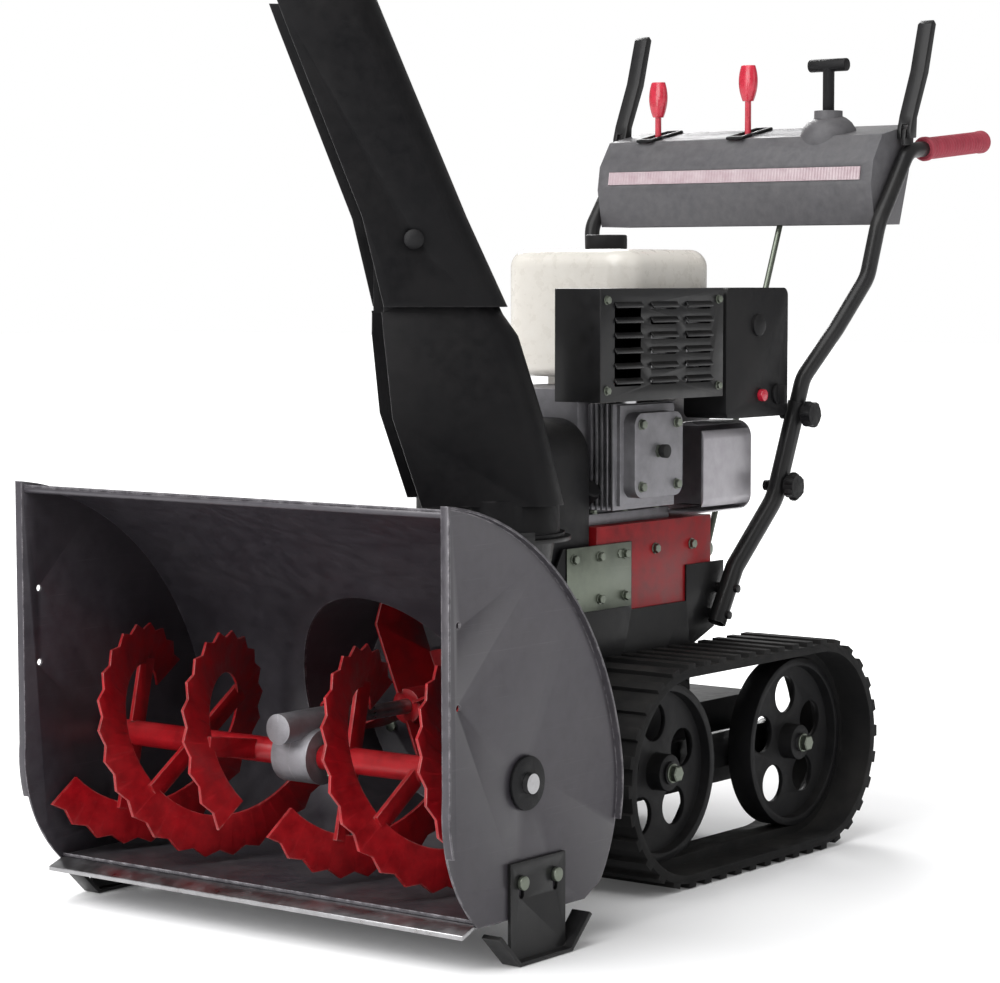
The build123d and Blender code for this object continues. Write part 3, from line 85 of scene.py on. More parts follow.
def setStudio():
    scene = bpy.context.scene
    bpy.ops.object.camera_add(location=studio["cameraPlace"], rotation=studio["cameraTurn"])
    camera = bpy.context.object
    camera.data.lens = studio["lens"]
    camera.data.sensor_width = studio["sensor"]
    scene.camera = camera
    for name, place, power, size in studio["lamps"]:
        bpy.ops.object.light_add(type="AREA", location=place)
        lamp = bpy.context.object
        lamp.name = name
        lamp.data.energy = power
        lamp.data.size = size
        aim = Vector(studio["lampAim"]) - Vector(place)
        lamp.rotation_euler = aim.to_track_quat("-Z", "Y").to_euler()
    world = bpy.data.worlds.new("studioWorld")
    world.use_nodes = True
    # the backdrop is seen white, and lights the machine less than it shows
    sky = world.node_tree.nodes["Background"]
    sky.inputs["Color"].default_value = (1, 1, 1, 1)
    seen = world.node_tree.nodes.new("ShaderNodeLightPath").outputs["Is Camera Ray"]
    strength = rangeNode(world.node_tree, seen, 0, 1, studio["worldLight"], 1.0)
    wire(world.node_tree, strength, sky.inputs["Strength"])
    scene.world = world
    bpy.ops.object.light_add(type="SUN", rotation=studio["sunTurn"])
    sun = bpy.context.object
    sun.name = "softSun"
    sun.data.energy = studio["sunPower"]
    sun.data.angle = studio["sunWidth"]
    scene.view_settings.view_transform = "Standard"
    bpy.ops.mesh.primitive_plane_add(size=studio["floorSize"], location=(0, 0, -studio["floorDrop"]))
    floor = bpy.context.object
    floor.name = "studioFloor"
    return floor


# effects that several finishes share are node groups with values of their own
def newGroup(name, inputs, outputs):
    group = bpy.data.node_groups.new(name, "ShaderNodeTree")
    for label, value in inputs:
        socket = group.interface.new_socket(name=label, in_out="INPUT", socket_type="NodeSocketFloat")
        socket.default_value = value
    for label in outputs:
        group.interface.new_socket(name=label, in_out="OUTPUT", socket_type="NodeSocketFloat")
    return group, group.nodes.new("NodeGroupInput"), group.nodes.new("NodeGroupOutput")


def wire(tree, source, target):
    tree.links.new(source, target)


def mathNode(tree, operation, first, second=None, third=None, clamp=False):
    node = tree.nodes.new("ShaderNodeMath")
    node.operation = operation
    node.use_clamp = clamp
    for place, value in enumerate((first, second, third)):
        if value is None:
            continue
        if isinstance(value, (int, float)):
            node.inputs[place].default_value = value
        else:
            wire(tree, value, node.inputs[place])
    return node.outputs[0]


def noiseNode(tree, coordinate, scale, detail=4, roughness=0.55):
    node = tree.nodes.new("ShaderNodeTexNoise")
    node.inputs["Detail"].default_value = detail
    node.inputs["Roughness"].default_value = roughness
    wire(tree, coordinate, node.inputs["Vector"])
    if isinstance(scale, (int, float)):
        node.inputs["Scale"].default_value = scale
    else:
        wire(tree, scale, node.inputs["Scale"])
    return node.outputs["Fac"]


def rangeNode(tree, value, low, high, toLow=0.0, toHigh=1.0):
    node = tree.nodes.new("ShaderNodeMapRange")
    node.clamp = True
    wire(tree, value, node.inputs["Value"])
    for label, number in (("From Min", low), ("From Max", high), ("To Min", toLow), ("To Max", toHigh)):
        node.inputs[label].default_value = number
    return node.outputs["Result"]


# where each shared effect starts and ends, on the scale of the noise that drives it
effects = {
    "wear": {"bend": (0.02, 0.22), "patches": (0.42, 0.62), "detail": 6, "roughness": 0.7, "samples": 4},
    "dust": {"facing": (-0.2, 0.95), "share": (0.25, 1.0), "patches": (0.35, 0.75), "detail": 7,
             "roughness": 0.65},
    "grain": {"fineScale": 1.7, "fineShare": 0.6, "shadeScale": 0.03},
    "scratch": {"marks": (0.60, 0.72), "detail": 4, "roughness": 0.75},
}


def makeEdgeWear():
    # where a corner turns sharply the rounded normal leaves the true one, and paint is rubbed away there
    look = effects["wear"]
    inputs = (("Reach", 0.003), ("Amount", 0.5), ("Patches", 60))
    group, entry, leave = newGroup("edgeWear", inputs, ("Mask",))
    place = group.nodes.new("ShaderNodeTexCoord").outputs["Object"]
    rounded = group.nodes.new("ShaderNodeBevel")
    rounded.samples = look["samples"]
    wire(group, entry.outputs["Reach"], rounded.inputs["Radius"])
    plain = group.nodes.new("ShaderNodeNewGeometry").outputs["Normal"]
    match = group.nodes.new("ShaderNodeVectorMath")
    match.operation = "DOT_PRODUCT"
    wire(group, rounded.outputs["Normal"], match.inputs[0])
    wire(group, plain, match.inputs[1])
    bend = mathNode(group, "SUBTRACT", 1.0, match.outputs["Value"])
    edge = rangeNode(group, bend, *look["bend"])
    cloud = noiseNode(group, place, entry.outputs["Patches"], look["detail"], look["roughness"])
    patches = rangeNode(group, cloud, *look["patches"])
    worn = mathNode(group, "MULTIPLY", edge, patches)
    wire(group, mathNode(group, "MULTIPLY", worn, entry.outputs["Amount"], clamp=True), leave.inputs["Mask"])
    return group


def makeDust():
    # settles on what faces up, in uneven patches
    look = effects["dust"]
    group, entry, leave = newGroup("dust", (("Amount", 0.3), ("Patches", 9)), ("Mask",))
    coordinate = group.nodes.new("ShaderNodeTexCoord")
    split = group.nodes.new("ShaderNodeSeparateXYZ")
    wire(group, coordinate.outputs["Normal"], split.inputs["Vector"])
    upward = rangeNode(group, split.outputs["Z"], *look["facing"], *look["share"])
    cloud = noiseNode(group, coordinate.outputs["Object"], entry.outputs["Patches"], look["detail"],
                      look["roughness"])
    patches = rangeNode(group, cloud, *look["patches"])
    settled = mathNode(group, "MULTIPLY", upward, patches)
    wire(group, mathNode(group, "MULTIPLY", settled, entry.outputs["Amount"], clamp=True), leave.inputs["Mask"])
    return group


def makeGrain():
    # moulded or cast surface: small cells broken up by finer noise
    look = effects["grain"]
    group, entry, leave = newGroup("grain", (("Size", 900), ("Softness", 0.5)), ("Height", "Shade"))
    place = group.nodes.new("ShaderNodeTexCoord").outputs["Object"]
    cells = group.nodes.new("ShaderNodeTexVoronoi")
    cells.feature = "SMOOTH_F1"
    wire(group, place, cells.inputs["Vector"])
    wire(group, entry.outputs["Size"], cells.inputs["Scale"])
    wire(group, entry.outputs["Softness"], cells.inputs["Smoothness"])
    fineSize = mathNode(group, "MULTIPLY", entry.outputs["Size"], look["fineScale"])
    fine = noiseNode(group, place, fineSize, 3, 0.5)
    height = mathNode(group, "MULTIPLY_ADD", fine, look["fineShare"], cells.outputs["Distance"])
    wire(group, height, leave.inputs["Height"])
    shadeSize = mathNode(group, "MULTIPLY", entry.outputs["Size"], look["shadeScale"])
    wire(group, noiseNode(group, place, shadeSize, 5, 0.6), leave.inputs["Shade"])
    return group


def makeScratches():
    # long thin marks, drawn out along one direction of the object
    look = effects["scratch"]
    inputs = (("Length", 5), ("Fineness", 320), ("Amount", 0.4))
    group, entry, leave = newGroup("scratches", inputs, ("Mask",))
    place = group.nodes.new("ShaderNodeTexCoord").outputs["Object"]
    stretch = group.nodes.new("ShaderNodeCombineXYZ")
    wire(group, entry.outputs["Fineness"], stretch.inputs["X"])
    wire(group, entry.outputs["Length"], stretch.inputs["Y"])
    wire(group, entry.outputs["Fineness"], stretch.inputs["Z"])
    drawn = group.nodes.new("ShaderNodeVectorMath")
    drawn.operation = "MULTIPLY"
    wire(group, place, drawn.inputs[0])
    wire(group, stretch.outputs["Vector"], drawn.inputs[1])
    lines = noiseNode(group, drawn.outputs["Vector"], 1.0, look["detail"], look["roughness"])
    marks = rangeNode(group, lines, *look["marks"])
    wire(group, mathNode(group, "MULTIPLY", marks, entry.outputs["Amount"], clamp=True), leave.inputs["Mask"])
    return group


clearSelection()
studioFloor = setStudio()
print("camera, lamps and floor are set")
wearGroup = makeEdgeWear()
dustGroup = makeDust()
grainGroup = makeGrain()
scratchGroup = makeScratches()


def useGroup(tree, group, **values):
    node = tree.nodes.new("ShaderNodeGroup")
    node.node_tree = group
    for label, value in values.items():
        node.inputs[label].default_value = value
    return node


def paintTone(red, green, blue):
    # screen values of a colour, as light
    light = []
    for value in (red, green, blue):
        share = value / 255
        light.append(((share + 0.055) / 1.055) ** 2.4 if value > 10 else share / 12.92)
    return tuple(light) + (1,)


def mixTone(tree, first, second, share):
    node = tree.nodes.new("ShaderNodeMix")
    node.data_type = "RGBA"
    wire(tree, share, node.inputs["Factor"])
    for place, value in ((6, first), (7, second)):
        if isinstance(value, tuple):
            node.inputs[place].default_value = value
        else:
            wire(tree, value, node.inputs[place])
    return node.outputs[2]


# every finish of the machine; tones are screen values, sizes are per metre
finishes = {
    "housing_paint": {"tone": (60, 57, 63), "shade": (48, 45, 51), "roughness": (0.34, 0.52), "metallic": 0.3,
                      "grain": 1500, "depth": 0.05, "wearTone": (165, 162, 166), "wear": 0.75,
                      "wearReach": 0.004, "dust": 0.12, "coat": 0.2, "scratch": 0.16},
    "red_paint": {"tone": (150, 6, 18), "shade": (110, 2, 10), "shine": 0.3, "roughness": (0.32, 0.52),
                  "grain": 1300, "depth": 0.05, "wearTone": (160, 120, 116), "wear": 0.6, "wearReach": 0.003,
                  "dust": 0.05, "coat": 0.15, "scratch": 0.2},
    "black_paint": {"tone": (20, 20, 22), "shade": (13, 13, 14), "shine": 0.22, "roughness": (0.34, 0.52),
                    "grain": 1800, "depth": 0.06, "wearTone": (96, 94, 93), "wear": 0.35, "wearReach": 0.0025,
                    "dust": 0.05, "coat": 0.15, "scratch": 0.12},
    "black_plastic": {"tone": (21, 21, 23), "shade": (14, 14, 16), "shine": 0.18, "roughness": (0.42, 0.60),
                      "grain": 2600, "depth": 0.18, "wearTone": (70, 70, 72), "wear": 0.2, "wearReach": 0.002,
                      "dust": 0.06, "scratch": 0.06},
    "chute_plastic": {"tone": (12, 11, 13), "shade": (6, 6, 8), "shine": 0.14, "roughness": (0.36, 0.55),
                      "grain": 2200, "depth": 0.14, "wearTone": (70, 68, 70), "wear": 0.45,
                      "wearReach": 0.004, "dust": 0.025, "scratch": 0.14},
    "dash_plastic": {"tone": (86, 85, 88), "shade": (73, 72, 75), "shine": 0.35, "roughness": (0.42, 0.58),
                     "grain": 2400, "depth": 0.16, "wearTone": (165, 164, 166), "wear": 0.25,
                     "wearReach": 0.002, "dust": 0.12, "scratch": 0.08},
    "red_plastic": {"tone": (196, 30, 58), "shade": (168, 16, 40), "roughness": (0.22, 0.36), "grain": 2600,
                    "depth": 0.05, "wearTone": (225, 120, 130), "wear": 0.15, "wearReach": 0.002,
                    "dust": 0.06, "coat": 0.4, "scratch": 0.08},
    "grip_rubber": {"tone": (158, 60, 74), "shade": (138, 46, 60), "shine": 0.3, "roughness": (0.58, 0.75),
                    "grain": 2000, "depth": 0.25, "wearTone": (215, 130, 140), "wear": 0.3,
                    "wearReach": 0.002, "dust": 0.12, "scratch": 0.0},
    "track_rubber": {"tone": (18, 18, 19), "shade": (11, 11, 12), "shine": 0.2, "roughness": (0.62, 0.85),
                     "grain": 1400, "depth": 0.35, "wearTone": (50, 48, 47), "wear": 0.5, "wearReach": 0.005,
                     "dust": 0.07, "scratch": 0.10},
    "belt_rubber": {"tone": (30, 30, 31), "shade": (20, 20, 21), "shine": 0.3, "roughness": (0.6, 0.8),
                    "grain": 1800, "depth": 0.3, "wearTone": (80, 78, 76), "wear": 0.3, "wearReach": 0.002,
                    "dust": 0.1, "scratch": 0.0},
    "bare_steel": {"tone": (176, 176, 178), "shade": (150, 149, 150), "roughness": (0.22, 0.42),
                   "metallic": 1.0, "grain": 1600, "depth": 0.05, "wearTone": (214, 213, 212), "wear": 0.3,
                   "wearReach": 0.002, "dust": 0.08, "scratch": 0.45},
    "zinc_steel": {"tone": (120, 126, 114), "shade": (98, 104, 94), "roughness": (0.26, 0.46),
                   "metallic": 0.9, "grain": 900, "depth": 0.06, "wearTone": (205, 206, 200), "wear": 0.3,
                   "wearReach": 0.002, "dust": 0.08, "scratch": 0.25},
    "cast_aluminium": {"tone": (146, 145, 149), "shade": (118, 117, 121), "roughness": (0.42, 0.62),
                       "metallic": 0.85, "grain": 1000, "depth": 0.40, "wearTone": (215, 214, 216),
                       "wear": 0.5, "wearReach": 0.002, "dust": 0.16, "scratch": 0.08},
    "silver_paint": {"tone": (166, 163, 168), "shade": (148, 145, 150), "roughness": (0.28, 0.44),
                     "metallic": 0.55, "grain": 1600, "depth": 0.06, "wearTone": (120, 118, 120), "wear": 0.2,
                     "wearReach": 0.002, "dust": 0.12, "coat": 0.3, "scratch": 0.12},
    "bronze": {"tone": (176, 132, 84), "shade": (140, 100, 60), "roughness": (0.3, 0.5), "metallic": 1.0,
               "grain": 900, "depth": 0.15, "wearTone": (210, 170, 120), "wear": 0.4, "wearReach": 0.002,
               "dust": 0.05, "scratch": 0.2},
    "tank_plastic": {"tone": (222, 218, 210), "shade": (215, 210, 201), "roughness": (0.22, 0.36),
                     "grain": 1500, "depth": 0.05, "wearTone": (236, 234, 230), "wear": 0.1,
                     "wearReach": 0.002, "dust": 0.01, "coat": 0.4, "scratch": 0.06},
}
dustTone = paintTone(150, 145, 138)
# how the shared effects enter every finish
surface = {"toneRange": (0.3, 0.7), "glossRange": (0.25, 0.75), "scratchTone": 0.35, "dustRoughness": 0.5,
           "coatRoughness": 0.18, "bumpReach": 0.0006, "scratchDepth": -0.5}


def finish(slotName):
    look = finishes[slotName]
    material = bpy.data.materials.new(slotName)
    material.use_nodes = True
    tree = material.node_tree
    shader = tree.nodes["Principled BSDF"]
    grain = useGroup(tree, grainGroup, Size=look["grain"])
    wear = useGroup(tree, wearGroup, Reach=look["wearReach"], Amount=look["wear"])
    dust = useGroup(tree, dustGroup, Amount=look["dust"])
    scratch = useGroup(tree, scratchGroup, Amount=look["scratch"])
    base = mixTone(tree, paintTone(*look["shade"]), paintTone(*look["tone"]),
                   rangeNode(tree, grain.outputs["Shade"], *surface["toneRange"]))
    rubbed = mixTone(tree, base, paintTone(*look["wearTone"]), wear.outputs["Mask"])
    marked = mixTone(tree, rubbed, paintTone(*look["wearTone"]),
                     mathNode(tree, "MULTIPLY", scratch.outputs["Mask"], surface["scratchTone"]))
    wire(tree, mixTone(tree, marked, dustTone, dust.outputs["Mask"]), shader.inputs["Base Color"])
    low, high = look["roughness"]
    gloss = rangeNode(tree, grain.outputs["Shade"], *surface["glossRange"], low, high)
    gloss = mathNode(tree, "MULTIPLY_ADD", dust.outputs["Mask"], surface["dustRoughness"], gloss, clamp=True)
    wire(tree, gloss, shader.inputs["Roughness"])
    shader.inputs["Metallic"].default_value = look.get("metallic", 0.0)
    shader.inputs["Coat Weight"].default_value = look.get("coat", 0.0)
    shader.inputs["Coat Roughness"].default_value = surface["coatRoughness"]
    shader.inputs["Specular IOR Level"].default_value = look.get("shine", 0.5)
    bump = tree.nodes.new("ShaderNodeBump")
    bump.inputs["Strength"].default_value = look["depth"]
    bump.inputs["Distance"].default_value = surface["bumpReach"]
    height = mathNode(tree, "MULTIPLY_ADD", scratch.outputs["Mask"], surface["scratchDepth"],
                      grain.outputs["Height"])
    wire(tree, height, bump.inputs["Height"])
    wire(tree, bump.outputs["Normal"], shader.inputs["Normal"])
    return material


# the lens tone and shade are painted reflection: the pale shine of a headlight reflector, not the cover's own
# colour
lensPaintedReflectionLook = {"tone": (180, 164, 168), "shade": (160, 138, 144), "flutes": 60, "haze": 40,
            "roughness": (0.10, 0.22),
            "depth": 0.35, "reach": 0.001, "coat": 0.6}


def lensPaintedReflectionFinish():
    # cover with upright flutes; its pale pinkish colour is a painted reflection, the bright look of a reflector
    # behind a clear lens
    material = bpy.data.materials.new("lens")
    material.use_nodes = True
    tree = material.node_tree
    shader = tree.nodes["Principled BSDF"]
    place = tree.nodes.new("ShaderNodeTexCoord").outputs["Object"]
    flutes = tree.nodes.new("ShaderNodeTexWave")
    flutes.bands_direction = "X"
    flutes.inputs["Scale"].default_value = lensPaintedReflectionLook["flutes"]
    wire(tree, place, flutes.inputs["Vector"])
    haze = rangeNode(tree, noiseNode(tree, place, lensPaintedReflectionLook["haze"], 5), 0.3, 0.7)
    # pale pinkish painted reflection, varied by the haze noise
    tone = mixTone(tree, paintTone(*lensPaintedReflectionLook["shade"]), paintTone(*lensPaintedReflectionLook["tone"]), haze)
    wire(tree, tone, shader.inputs["Base Color"])
    wire(tree, rangeNode(tree, haze, 0, 1, *lensPaintedReflectionLook["roughness"]), shader.inputs["Roughness"])
    bump = tree.nodes.new("ShaderNodeBump")
    bump.inputs["Strength"].default_value = lensPaintedReflectionLook["depth"]
    bump.inputs["Distance"].default_value = lensPaintedReflectionLook["reach"]
    wire(tree, flutes.outputs["Fac"], bump.inputs["Height"])
    wire(tree, bump.outputs["Normal"], shader.inputs["Normal"])
    shader.inputs["Coat Weight"].default_value = lensPaintedReflectionLook["coat"]
    return material


floorLook = {"tone": (245, 245, 245), "shade": (240, 240, 241), "patches": 1.5, "roughness": 0.8,
             "glowFrom": 0.7, "glowTo": 3.0, "glow": (0.05, 0.5)}


def floorFinish():
    material = bpy.data.materials.new("paleFloor")
    material.use_nodes = True
    tree = material.node_tree
    shader = tree.nodes["Principled BSDF"]
    place = tree.nodes.new("ShaderNodeTexCoord").outputs["Object"]
    patches = rangeNode(tree, noiseNode(tree, place, floorLook["patches"], 5), 0.3, 0.7)
    tone = mixTone(tree, paintTone(*floorLook["shade"]), paintTone(*floorLook["tone"]), patches)
    wire(tree, tone, shader.inputs["Base Color"])
    shader.inputs["Roughness"].default_value = floorLook["roughness"]
    # away from the machine the floor glows a little, so that it meets the backdrop unseen
    away = tree.nodes.new("ShaderNodeVectorMath")
    away.operation = "LENGTH"
    wire(tree, place, away.inputs[0])
    shader.inputs["Emission Color"].default_value = (1, 1, 1, 1)
    glow = rangeNode(tree, away.outputs["Value"], floorLook["glowFrom"], floorLook["glowTo"],
                     *floorLook["glow"])
    wire(tree, glow, shader.inputs["Emission Strength"])
    return material


materials = {name: finish(name) for name in finishes}
materials["lens"] = lensPaintedReflectionFinish()
studioFloor.data.materials.append(floorFinish())
for name, node in nodes.items():
    node.data.materials.clear()
    node.data.materials.append(materials[slotOf[name]])
print("finishes are made:", len(materials))


def hold(piece, body, slotName, replaced=()):
    # the piece's finish and the body that carries it
    if not piece.data.materials:
        piece.data.materials.append(materials[slotName])
    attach(piece, body)
    for node in replaced:
        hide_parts(node)
    return piece


# what counts as an edge, and what the rounded copies join or flatten first
edgeRules = {"turn": math.radians(34), "join": 0.00001, "flat": math.radians(0.4)}


def roundEdges(piece, width, segments):
    makeActive(piece)
    bpy.ops.object.modifier_add(type="BEVEL")
    bevel = piece.modifiers[-1]
    bevel.width = width
    bevel.segments = segments
    bevel.limit_method = "ANGLE"
    bevel.angle_limit = edgeRules["turn"]
    bevel.use_clamp_overlap = True
    bevel.miter_outer = "MITER_ARC"
    bpy.ops.object.modifier_apply(modifier=bevel.name)
    bpy.ops.object.shade_smooth_by_angle(angle=smoothAngle)


def roundedCopy(nodeName, width, segments=2):
    # the made part with its sharp edges broken, as a press, a mould or a file leaves them
    piece = bpy.data.objects.new(nodeName + "Shell", nodes[nodeName].data.copy())
    bpy.context.scene.collection.objects.link(piece)
    makeActive(piece)
    bpy.ops.mesh.customdata_custom_splitnormals_clear()
    bpy.ops.object.mode_set(mode="EDIT")
    bpy.ops.mesh.select_all(action="SELECT")
    bpy.ops.mesh.remove_doubles(threshold=edgeRules["join"])
    bpy.ops.mesh.dissolve_limited(angle_limit=edgeRules["flat"])
    bpy.ops.object.mode_set(mode="OBJECT")
    roundEdges(piece, width, segments)
    return hold(piece, bodyOf[nodeName], slotOf[nodeName], (nodeName,))


# how far each part's edges are rounded, in metres
edgeWidths = {
    "auger_housing": 0.0008, "side_plate_left": 0.0011, "side_plate_right": 0.0011, "scraper_bar": 0.0008,
    "skid_shoes": 0.0018, "impeller_drum": 0.0008, "chute_neck": 0.0012, "housing_bolts": 0.0010,
    "flange_bearings": 0.0012, "auger_left": 0.0009, "auger_right": 0.0009, "gearcase": 0.0025,
    "impeller": 0.0010, "belt_cover": 0.0030, "frame_box": 0.0010, "engine_deck": 0.0025,
    "track_left": 0.0018, "track_right": 0.0018, "drive_wheels": 0.0020, "idler_wheels": 0.0020,
    "track_frames": 0.0020, "handle_lower": 0.0010, "handle_upper": 0.0008, "auger_clutch_lever": 0.0020,
    "drive_clutch_lever": 0.0020, "dash_panel": 0.0032, "tilt_lever": 0.0020, "shift_lever": 0.0020,
    "chute_handle": 0.0030, "shift_rod": 0.0008, "chute_lower": 0.0012, "chute_deflector": 0.0012,
    "crankcase": 0.0030, "cylinder_head": 0.0010, "crankshaft": 0.0010, "recoil_cover": 0.0040,
    "recoil_handle": 0.0030, "muffler_guard": 0.0022, "muffler": 0.0015, "air_box": 0.0040,
    "choke_knob": 0.0014, "primer_button": 0.0025, "fuel_cap": 0.0025,
}
for name, width in edgeWidths.items():
    roundedCopy(name, width)
print("rounded parts:", len(edgeWidths))


def applied(piece):
    # the finished piece stands at the origin, with its place in its mesh
    makeActive(piece)
    bpy.ops.object.transform_apply(location=True, rotation=True, scale=True)
    return piece


def turned(name, steps, sides=32):
    # a round piece drawn up along Z through (radius, height) steps
    radius, height = steps[0]
    clearSelection()
    bpy.ops.mesh.primitive_circle_add(vertices=sides, radius=radius, fill_type="NGON", location=(0, 0, height))
    piece = bpy.context.object
    piece.name = name
    bpy.ops.object.transform_apply(location=True, rotation=True, scale=True)
    bpy.ops.object.mode_set(mode="EDIT")
    bpy.ops.mesh.select_all(action="SELECT")
    for nextRadius, nextHeight in steps[1:]:
        bpy.ops.mesh.extrude_region_move(TRANSFORM_OT_translate={"value": (0, 0, nextHeight - height)})
        share = nextRadius / radius
        bpy.ops.transform.resize(value=(share, share, 1), center_override=(0, 0, nextHeight))
        radius, height = nextRadius, nextHeight
    bpy.ops.mesh.select_all(action="SELECT")
    bpy.ops.mesh.normals_make_consistent(inside=False)
    bpy.ops.object.mode_set(mode="OBJECT")
    bpy.ops.object.shade_smooth_by_angle(angle=smoothAngle)
    return piece


def slab(name, low, high, rounding, segments=3):
    # a moulded or cast block between two corners, all its edges rounded
    clearSelection()
    middle = [(a + b) / 2 for a, b in zip(low, high)]
    bpy.ops.mesh.primitive_cube_add(size=1, location=middle)
    piece = bpy.context.object
    piece.name = name
    piece.scale = [b - a for a, b in zip(low, high)]
    bpy.ops.object.transform_apply(location=True, rotation=True, scale=True)
    bpy.ops.object.mode_set(mode="EDIT")
    bpy.ops.mesh.select_all(action="SELECT")
    bpy.ops.mesh.bevel(offset=rounding, segments=segments)
    bpy.ops.object.mode_set(mode="OBJECT")
    bpy.ops.object.shade_smooth_by_angle(angle=smoothAngle)
    return piece


def pointed(piece, place, direction, spin=0.0):
    # stands a piece drawn along Z at a place, along a direction
    turn = Vector((0, 0, 1)).rotation_difference(Vector(direction).normalized())
    piece.matrix_world = Matrix.Translation(place) @ turn.to_matrix().to_4x4() @ Matrix.Rotation(spin, 4, "Z")
    return applied(piece)


def joined(name, pieces):
    clearSelection()
    for piece in pieces:
        piece.select_set(True)
    bpy.context.view_layer.objects.active = pieces[0]
    if len(pieces) > 1:
        bpy.ops.object.join()
    pieces[0].name = name
    return pieces[0]


copyTurn = 0.4


def copies(name, model, places):
    # one model set out at (place, direction) pairs, each copy turned a little further than the last
    made = []
    for number, (place, direction) in enumerate(places):
        piece = bpy.data.objects.new(name + str(number), model.data.copy())
        bpy.context.scene.collection.objects.link(piece)
        made.append(pointed(piece, place, direction, copyTurn * number))
    bpy.data.objects.remove(model)
    return joined(name, made)


# radius and height of each step, as shares of half the head's width
boltShape = {"washer": ((1.15, 0), (1.15, 0.16), (1.08, 0.22)), "washerSides": 28,
             "head": ((0.95, 0.2), (1, 0.3), (1, 0.85), (0.86, 0.98), (0.3, 1.0)), "headSides": 6}


def hexBolt(name, size):
    # head with a washer under it, standing on z = 0
    washer = turned(name + "Washer", [(size * radius, size * height) for radius, height in boltShape["washer"]],
                    boltShape["washerSides"])
    head = turned(name, [(size * radius, size * height) for radius, height in boltShape["head"]],
                  boltShape["headSides"])
    makeActive(head)
    bpy.ops.object.shade_flat()
    return joined(name, [washer, head])


def corner(nodeName, x, y, z):
    # a point of a node's box, each share running from its low side at 0 to its high side at 1
    low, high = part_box(nodeName)
    return Vector([low[axis] + (high[axis] - low[axis]) * share for axis, share in enumerate((x, y, z))])


ribbedGrip = {"front": (0.5605, 1.0424), "rear": (0.7495, 1.0603), "x": 0.265, "radius": 0.0168, "ribs": 19,
              "ribStart": 0.013, "ribEnd": 0.017, "sides": 36}


def makeGrips():
    # ribbed rubber sleeves over the plain ones, with a collar at each end
    start = Vector((0, *ribbedGrip["front"]))
    end = Vector((0, *ribbedGrip["rear"]))
    length = (end - start).length
    radius, ribs, ribStart = ribbedGrip["radius"], ribbedGrip["ribs"], ribbedGrip["ribStart"]
    pitch = (length - ribStart - ribbedGrip["ribEnd"]) / ribs
    steps = [(radius * 0.98, 0), (radius * 1.12, 0.002), (radius * 1.12, 0.008), (radius * 0.95, 0.011)]
    for rib in range(ribs):
        z = ribStart + pitch * rib
        steps += [(radius * 0.93, z), (radius * 1.02, z + pitch * 0.25), (radius * 1.02, z + pitch * 0.65),
                  (radius * 0.93, z + pitch * 0.9)]
    steps += [(radius * 1.08, length - 0.010), (radius * 1.08, length - 0.004), (radius * 0.85, length)]
    grips = []
    for side in both:
        grip = turned("grip", steps, ribbedGrip["sides"])
        grips.append(pointed(grip, start + Vector((side * ribbedGrip["x"], 0, 0)), end - start))
    hold(joined("ribbedGrips", grips), "chassis", "grip_rubber", ("hand_grips",))


starKnob = {"radius": 0.0185, "height": 0.017, "lobes": 6, "bite": 0.0030, "standOut": 0.0195, "sides": 48,
            "bolts": ((0.1713, 0.29530, 0.533), (0.1911, 0.30970, 0.641))}


def makeStarKnobs():
    # each cap covers the plain knob on a handle bolt
    radius, height = starKnob["radius"], starKnob["height"]
    model = turned("starKnob",
                   [(radius * 0.62, 0), (radius * 0.95, 0.003), (radius, 0.006), (radius, height * 0.7),
                                (radius * 0.9, height * 0.93), (radius * 0.5, height)], starKnob["sides"])
    for vertex in model.data.vertices:
        turn = math.atan2(vertex.co.y, vertex.co.x)
        share = 1 + starKnob["bite"] / radius * math.cos(starKnob["lobes"] * turn)
        vertex.co.x *= share
        vertex.co.y *= share
    places = [((side * (x + starKnob["standOut"]), y, z), (side, 0, 0))
              for side in both for x, y, z in starKnob["bolts"]]
    hold(copies("starKnobs", model, places), "chassis", "black_plastic")


ribbedCap = {"ribs": 24, "ribDepth": 0.025, "ribMiddle": 0.985, "ribFrom": 0.92, "ribTop": 0.8, "sides": 96}


def makeFuelCap():
    # ribbed cap in place of the plain one
    middle = corner("fuel_cap", 0.5, 0.5, 0)
    tall = corner("fuel_cap", 0.5, 0.5, 1).z - middle.z
    radius = corner("fuel_cap", 1, 0, 0).x - middle.x
    cap = turned("ribbedCap",
                 [(radius * 0.97, 0), (radius, 0.002), (radius, tall * 0.72), (radius * 0.93, tall * 0.9),
                               (radius * 0.8, tall), (radius * 0.45, tall), (radius * 0.42, tall * 0.9),
                               (radius * 0.1, tall * 0.9)], ribbedCap["sides"])
    for vertex in cap.data.vertices:
        outside = math.hypot(vertex.co.x, vertex.co.y) > radius * ribbedCap["ribFrom"]
        if outside and vertex.co.z < tall * ribbedCap["ribTop"]:
            turn = math.atan2(vertex.co.y, vertex.co.x)
            share = ribbedCap["ribMiddle"] + ribbedCap["ribDepth"] * math.cos(ribbedCap["ribs"] * turn)
            vertex.co.x *= share
            vertex.co.y *= share
    hold(pointed(cap, middle, (0, 0, 1)), "cap", "black_plastic", ("fuel_cap",))


bracketPlate = {"sheet": 0.0022, "low": 0.378, "high": 0.470, "front": -0.186, "rear": -0.030, "out": 0.1283,
                "rounding": 0.0009, "bolt": 0.0065, "boltsY": (-0.17, -0.108, -0.046), "boltsZ": (0.394, 0.454)}


